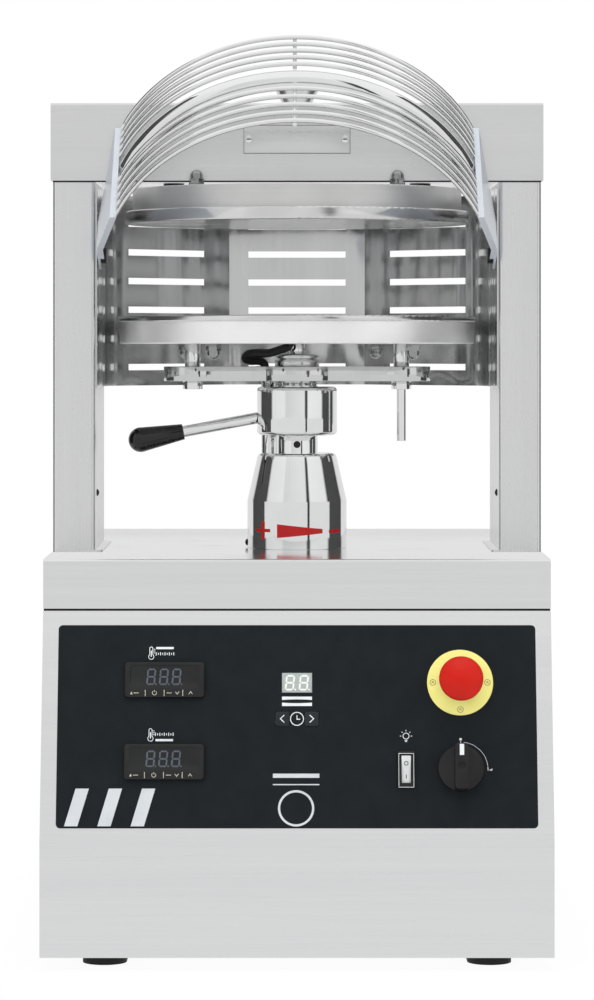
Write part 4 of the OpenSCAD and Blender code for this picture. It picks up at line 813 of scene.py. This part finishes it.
def tickOutlines(ticks):
    outlines = []
    for x in range(-ticks["reach"], ticks["reach"] + 1, ticks["pitch"]):
        height = ticks["long"] if x % (2 * ticks["pitch"]) == 0 else ticks["short"]
        outlines.append(barOutline(x, 0, ticks["width"], height))
    return outlines


def keyMarkOutlines(marks):
    y, stroke = marks["y"], marks["stroke"]
    dividers = [barOutline(x, y, stroke, marks["dividerHeight"]) for x in marks["dividerX"]]
    x, half = marks["triangleX"], marks["triangle"]
    triangle = [(x - half, y - half), (x + half, y - half), (x, y + half)]
    firstDash, secondDash = [barOutline(x, y, marks["dash"], stroke) for x in marks["dashX"]]
    x, radius, pen = marks["powerX"], marks["powerRadius"], marks["powerStroke"]
    powerArc = arcOutline(x, y, radius, pen, *marks["powerArc"])
    powerPin = barOutline(x, y + marks["powerRise"], pen, radius)
    wing, rise = marks["arrow"]
    arrows = []
    for x, tip in ((marks["downX"], -rise), (marks["upX"], rise)):
        arrows.append(strokeOutline([(x - wing, y - tip), (x, y + tip), (x + wing, y - tip)], stroke))
    return dividers + [triangle, firstDash, powerArc, powerPin, secondDash] + arrows


for label, (middleT, glassT, barT, tickT) in thermostats["rows"].items():
    glass = thermometerOutlines(thermometer)
    addPrint(label + "Thermometer", glass, onFascia(thermostats["glassX"], glassT))
    addPrint(label + "ScaleBar", [barOutline(0, 0, *thermostats["bar"])], onFascia(thermostats["x"], barT))
    addPrint(label + "ScaleTicks", tickOutlines(thermostats["ticks"]), onFascia(thermostats["x"], tickT))
    figures = []
    for x in thermostats["digitX"]:
        figures += digitOutlines(x, thermostats["digitY"], thermostats["digit"])
    lens = onPanel(thermostats["x"], middleT, thermostats["lensOut"])
    addPrint(label + "ThermostatFigures", figures, lens, "segment")
    face = onPanel(thermostats["x"], middleT, thermostats["faceOut"])
    addPrint(label + "ThermostatKeyMarks", keyMarkOutlines(keyMarks), face, "keyPrint")
print("thermostat marks printed")

# timer: figures in its window, two curved bars, arrows on its keys and a clock between them
timer = {
    "windowT": 66.3, "figureX": (-6.4, 6.2), "keyX": 13.3, "keyT": 99.3, "keyOut": 1.84,
    "stroke": 0.8, "arrow": (1.8, 3.4), "clock": 5.9, "hands": [(0, 3.2), (0, -0.4), (2.9, -0.4)],
    "digit": {"height": 12.6, "width": 6.8, "stroke": 1.7, "lean": 0.1, "gap": 0.2, "pointAway": 2.4},
}
plateBars = {"t": 83.3, "half": 13.6, "outer": 4.3, "inner": 1.2, "dip": 0.5, "steps": 20}
timerFigures = []
for x in timer["figureX"]:
    timerFigures += digitOutlines(x, 0, timer["digit"])
addPrint("timerFigures", timerFigures, onFascia(0, timer["windowT"]), "lit")


def hollowBar(side):
    half, outer = plateBars["half"], side * plateBars["outer"]
    edge = []
    for i in range(plateBars["steps"] + 1):
        share = 2 * i / plateBars["steps"] - 1
        level = plateBars["inner"] + plateBars["dip"] * (1 - share ** 2)
        edge.append((half * share, side * level))
    return edge + [(half, outer), (-half, outer)]


addPrint("plateBars", [hollowBar(1), hollowBar(-1)], onFascia(0, plateBars["t"]))
for side, body in ((-1, "timer_down_key"), (1, "timer_up_key")):
    tip, wing = timer["arrow"]
    arrow = strokeOutline([(-tip * side, wing), (tip * side, 0), (-tip * side, -wing)], timer["stroke"])
    keyFace = onPanel(side * timer["keyX"], timer["keyT"], timer["keyOut"])
    addPrint(body + "_arrow", [arrow], keyFace, body=body)
clock = ringOutlines(0, 0, timer["clock"], timer["stroke"])
clock.append(strokeOutline(timer["hands"], timer["stroke"]))
addPrint("timerClock", clock, onFascia(0, timer["keyT"]))
print("timer marks printed")

# light switch: bulb above it, pale line round its frame, and the two state marks on the rocker
lightSwitch = {"x": 98.8, "bulbT": 115.6, "frame": (13.9, 30.9), "frameStroke": 0.4, "frameOut": 3.24}
lightBulb = {"y": 0.6, "radius": 2.7, "stroke": 0.6, "sockets": ((-3.3, 2.6), (-4.4, 1.8)),
             "rays": (4.3, 5.5), "rayAngles": (0, 45, 90, 135, 180)}
rockerMarks = {"ringY": 6.4, "ringOut": 2.62, "ringTilt": 13.7, "ring": 1.7, "ringStroke": 0.6,
               "bar": (0, -5.4, 0.7, 3.6), "barOut": 1.06}
frameLow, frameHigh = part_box("rocker_frame")
lightSwitch["t"] = (panelTopZ - (frameLow.z + frameHigh.z) / 2) / mm / math.cos(panelAngle)


def bulbOutlines(bulb):
    y, stroke = bulb["y"], bulb["stroke"]
    outlines = ringOutlines(0, y, bulb["radius"], stroke)
    outlines += [barOutline(0, level, width, stroke) for level, width in bulb["sockets"]]
    for angle in bulb["rayAngles"]:
        turn = math.radians(angle)
        ray = [(reach * math.cos(turn), y + reach * math.sin(turn)) for reach in bulb["rays"]]
        outlines.append(strokeOutline(ray, stroke))
    return outlines


addPrint("lightBulb", bulbOutlines(lightBulb), onFascia(lightSwitch["x"], lightSwitch["bulbT"]))
wide, tall = lightSwitch["frame"]
bothStrokes = 2 * lightSwitch["frameStroke"]
switchLine = [barOutline(0, 0, wide, tall), barOutline(0, 0, wide - bothStrokes, tall - bothStrokes)]
addPrint("switchLine", switchLine, onPanel(lightSwitch["x"], lightSwitch["t"], lightSwitch["frameOut"]))
rockerPlace = onPanel(lightSwitch["x"], lightSwitch["t"])
upperHalf = rockerPlace @ Matrix.Translation((0, rockerMarks["ringY"] * mm, rockerMarks["ringOut"] * mm))
upperHalf = upperHalf @ Matrix.Rotation(math.radians(rockerMarks["ringTilt"]), 4, "X")
lowerHalf = rockerPlace @ Matrix.Translation((0, 0, rockerMarks["barOut"] * mm))
rockerRing = ringOutlines(0, 0, rockerMarks["ring"], rockerMarks["ringStroke"])
addPrint("rockerRing", rockerRing, upperHalf, "darkPrint", "light_rocker")
addPrint("rockerBar", [barOutline(*rockerMarks["bar"])], lowerHalf, "darkPrint", "light_rocker")

# main switch: the sweep of its quarter turn round it, and a pointer on the knob
mainSwitch = {
    "x": 148.3, "t": 145, "knobOut": 26.34, "pointer": (0, 14.6, 3.9, 10),
    "sweep": 24.5, "sweepStroke": 0.35, "sweepArc": (3, 84), "dot": 1.2, "dotAway": 2.6,
    # bars at the two ends of the sweep: their place from its end, width and height
    "topBars": [(0, -0.4, 0.6, 2.6)],
    "sideBars": [(0, 0.2, 0.6, 3.4), (2.4, -0.6, 2.2, 0.6), (3.6, -0.6, 0.6, 2.2)],
}


def sweepOutlines(switch):
    reach = switch["sweep"]
    outlines = [arcOutline(0, 0, reach, switch["sweepStroke"], *switch["sweepArc"])]
    outlines.append(circleOutline(0, reach + switch["dotAway"], switch["dot"]))
    outlines += [barOutline(x, reach + y, width, height) for x, y, width, height in switch["topBars"]]
    outlines += [barOutline(reach + x, y, width, height) for x, y, width, height in switch["sideBars"]]
    return outlines


addPrint("switchSweep", sweepOutlines(mainSwitch), onFascia(mainSwitch["x"], mainSwitch["t"]))
knobFace = onPanel(mainSwitch["x"], mainSwitch["t"], mainSwitch["knobOut"])
addPrint("knobPointer", [barOutline(*mainSwitch["pointer"])], knobFace, body="main_knob")

# stop button: a turn mark three times round the disc
stopMarks = {"x": 148.3, "t": 66.2, "out": 2.04, "reach": 24.8, "angles": (180, 0, 270), "ring": 2.6,
             "ringStroke": 0.4, "arrow": ((-1.1, -0.7), (0, 0.9), (1.1, -0.7)), "arrowStroke": 0.5}
turns = []
for angle in stopMarks["angles"]:
    x = stopMarks["reach"] * math.cos(math.radians(angle))
    y = stopMarks["reach"] * math.sin(math.radians(angle))
    turns += ringOutlines(x, y, stopMarks["ring"], stopMarks["ringStroke"])
    turns.append(strokeOutline([(x + u, y + v) for u, v in stopMarks["arrow"]], stopMarks["arrowStroke"]))
discFace = onPanel(stopMarks["x"], stopMarks["t"], stopMarks["out"])
addPrint("stopTurnMarks", turns, discFace, "darkPrint")

# plain stripes, lines and a ring along the foot of the panel
stripes = {"x": (-199, -169, -139), "t": 179.6, "size": (12, 34), "lean": 10}
middle = {"x": -0.8, "linesT": 179.6, "lineWidth": 42, "lines": ((28.6, 3.8), (20.6, 1.0)),
          "ringT": 180.4, "ring": 15.4, "ringStroke": 2.0}
stripeOutlines = [barOutline(x, 0, *stripes["size"], stripes["lean"]) for x in stripes["x"]]
addPrint("cornerStripes", stripeOutlines, onFascia(0, stripes["t"]), "stripe")
lineOutlines = [barOutline(0, y, middle["lineWidth"], height) for y, height in middle["lines"]]
addPrint("middleLines", lineOutlines, onFascia(middle["x"], middle["linesT"]), "stripe")
middleRing = ringOutlines(0, 0, middle["ring"], middle["ringStroke"])
addPrint("middleRing", middleRing, onFascia(middle["x"], middle["ringT"]), "stripe")
print("panel marks printed")

# painted marks on the bell, bent to its wall
bellLow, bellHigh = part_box("bell_housing")
bellMarks = {
    "radius": (bellHigh.x - bellLow.x) / 2 / mm, "lift": 0.05, "thickness": 0.15, "grid": (24, 2),
    # left edge, right edge, then the low and high levels at the left and at the right
    "bars": {"plusAcross": (-39.2, -25.8, 385.5, 388.7, 385.5, 388.7),
             "plusUp": (-34.0, -31.0, 388.7, 395.7, 388.7, 395.7),
             "plusDown": (-34.0, -31.0, 378.5, 385.5, 378.5, 385.5),
             "wedge": (-19.1, 24.4, 380.2, 393.4, 384.6, 388.8),
             "minus": (30.7, 41.2, 384.6, 388.0, 384.6, 388.0)},
}
columns, rows = bellMarks["grid"]
for label, (left, right, lowLeft, highLeft, lowRight, highRight) in bellMarks["bars"].items():
    deselectAll()
    bpy.ops.mesh.primitive_grid_add(x_subdivisions=columns, y_subdivisions=rows, size=1)
    mark = bpy.context.object
    mark.name = "bell_" + label
    for vertex in mark.data.vertices:
        u, v = vertex.co.x + 0.5, vertex.co.y + 0.5
        x = left + (right - left) * u
        low = lowLeft + (lowRight - lowLeft) * u
        high = highLeft + (highRight - highLeft) * u
        reach = math.sqrt((bellMarks["radius"] + bellMarks["lift"]) ** 2 - x * x)
        vertex.co = (x * mm, pressAxis.y - reach * mm, (low + (high - low) * v) * mm)
    shell = mark.modifiers.new("paint", "SOLIDIFY")
    shell.thickness = bellMarks["thickness"] * mm
    shell.offset = 1
    applyAll(mark)
    smooth(mark)
    addPiece(mark, "frame", finish["redMark"])
print("bell marked")


# shares of a screw's radius: its hexagon, the length and width of its slot, and its eased edge
screwShares = {"hexagon": 0.52, "slotLength": 3, "slotWidth": 0.3, "ease": 0.18}


# screw with a cut slot or a hexagon in its head, its axis towards -y
def faceScrew(name, where, screw, slotted, finishName, body):
    radius, height = screw["radius"] * mm, screw["height"] * mm
    deselectAll()
    bpy.ops.mesh.primitive_cylinder_add(vertices=32, radius=radius, depth=height)
    head = bpy.context.object
    head.name = name
    place(head, Matrix.Translation((0, 0, height / 2)))
    deselectAll()
    if slotted:
        bpy.ops.mesh.primitive_cube_add(size=1)
        length, width = radius * screwShares["slotLength"], radius * screwShares["slotWidth"]
    else:
        bpy.ops.mesh.primitive_cylinder_add(vertices=6, radius=radius * screwShares["hexagon"], depth=1)
        length, width = 1, 1
    cutter = bpy.context.object
    place(cutter, Matrix.Translation((0, 0, height)) @ Matrix.Diagonal((length, width, height, 1)))
    addBevel(head, radius * screwShares["ease"])
    cut = head.modifiers.new("driveCut", "BOOLEAN")
    cut.operation = "DIFFERENCE"
    cut.solver = "EXACT"
    cut.object = cutter
    applyAll(head)
    bpy.data.objects.remove(cutter, do_unlink=True)
    place(head, Matrix.Translation(where) @ Matrix.Rotation(math.pi / 2, 4, "X"))
    smooth(head)
    addPiece(head, body, finish[finishName])


# header plate: a slotted screw at each end, and behind it a slightly larger black sheet, painted shade that
# shows as a dark line round it
plateScrew = {"x": 45.5, "out": 0.2, "radius": 3.6, "height": 3.0}
plateShadeFilm = {"reach": 0.4, "thickness": 0.3}
plateLow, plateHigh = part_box("name_plate")
plateMiddle = (plateLow.z + plateHigh.z) / 2
for side, label in ((-1, "left"), (1, "right")):
    where = (side * plateScrew["x"] * mm, plateLow.y - plateScrew["out"] * mm, plateMiddle)
    faceScrew(label + "PlateScrew", where, plateScrew, True, "polished", "frame")
plateSize = plateHigh - plateLow
plateBack = Vector(((plateLow.x + plateHigh.x) / 2, plateHigh.y, plateMiddle))
shadeFilmSize = plateSize + Vector((1, 0, 1)) * 2 * plateShadeFilm["reach"] * mm
shadeFilmSize.y = plateShadeFilm["thickness"] * mm
grown = Matrix.Diagonal([f / p for f, p in zip(shadeFilmSize, plateSize)] + [1])
shadeFilm = linkNew("plateShadeLine", nodes["name_plate"].data.copy())
place(shadeFilm, Matrix.Translation(plateBack) @ grown @ Matrix.Translation(-plateBack))
addPiece(shadeFilm, "frame", finish["black"])

# hem turned in under the header's front, made black as painted shade, which shows as a dark line below it
shadeHem = {"inset": 2.0, "back": 0.4, "depth": 1.2, "drop": 1.5, "hidden": 0.5}
headerLow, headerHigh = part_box("header_cover")
shadeHemFront = headerLow.y + shadeHem["back"] * mm
shadeHemLow = Vector((headerLow.x + shadeHem["inset"] * mm, shadeHemFront, headerLow.z - shadeHem["drop"] * mm))
shadeHemHigh = Vector((headerHigh.x - shadeHem["inset"] * mm, shadeHemFront + shadeHem["depth"] * mm,
                  headerLow.z + shadeHem["hidden"] * mm))
deselectAll()
bpy.ops.mesh.primitive_cube_add(size=1)
shadeHemStrip = bpy.context.object
shadeHemStrip.name = "headerShadeHem"
place(shadeHemStrip, Matrix.Translation((shadeHemLow + shadeHemHigh) / 2) @ Matrix.Diagonal((*(shadeHemHigh - shadeHemLow), 1)))
addPiece(shadeHemStrip, "frame", finish["blackened"])
print("header dressed")

# set screw with a hexagon in the ram's neck
neckScrew = {"z": 469, "sunk": 0.3, "radius": 3.4, "height": 0.8}
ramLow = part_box("ram")[0]
where = (0, ramLow.y + neckScrew["sunk"] * mm, neckScrew["z"] * mm)
faceScrew("neckSetScrew", where, neckScrew, False, "blackened", "ram")
print("screws set")

# painted shade: a black rubber frame in the shadow gap under the tray, inside the cabinet's outline, that
# darkens the gap
shadeSeal = {"inset": 0.5, "width": 5.0, "play": 0.1}
shadeSealBack = min(trayHigh.y, cabinetHigh.y)
shadeSealOutlines = []
for inset in (shadeSeal["inset"], shadeSeal["inset"] + shadeSeal["width"]):
    wide = 2 * (cabinetHigh.x / mm - inset)
    deep = (shadeSealBack - trayLow.y) / mm - 2 * inset
    shadeSealOutlines.append(barOutline(0, 0, wide, deep))
shadeSealPiece = printPlate("trayShadeSeal", shadeSealOutlines, panel["shadowGap"] / mm - shadeSeal["play"])
place(shadeSealPiece, Matrix.Translation((0, (trayLow.y + shadeSealBack) / 2, trayLow.z - panel["shadowGap"] / 2)))
addPiece(shadeSealPiece, "frame", finish["rubber"])
print("seal laid")

# rubber toes in front of the front feet, which sit further back under the base
toe = {"x": 176, "y": 59, "radius": 20.2, "back": 31, "height": 12.8, "ease": 3.0}
toeOutline = arcPoints(0, 0, toe["radius"], 180, 360)
toeOutline += [(toe["radius"], toe["back"]), (-toe["radius"], toe["back"])]
for side, label in ((-1, "left"), (1, "right")):
    pad = printPlate(label + "Toe", [toeOutline], toe["height"])
    addBevel(pad, toe["ease"] * mm, segments=3)
    applyAll(pad)
    where = (side * toe["x"] * mm, cabinetLow.y + toe["y"] * mm, toe["height"] / 2 * mm)
    place(pad, Matrix.Translation(where))
    smooth(pad)
    addPiece(pad, "frame", finish["rubber"])
print("toes laid")
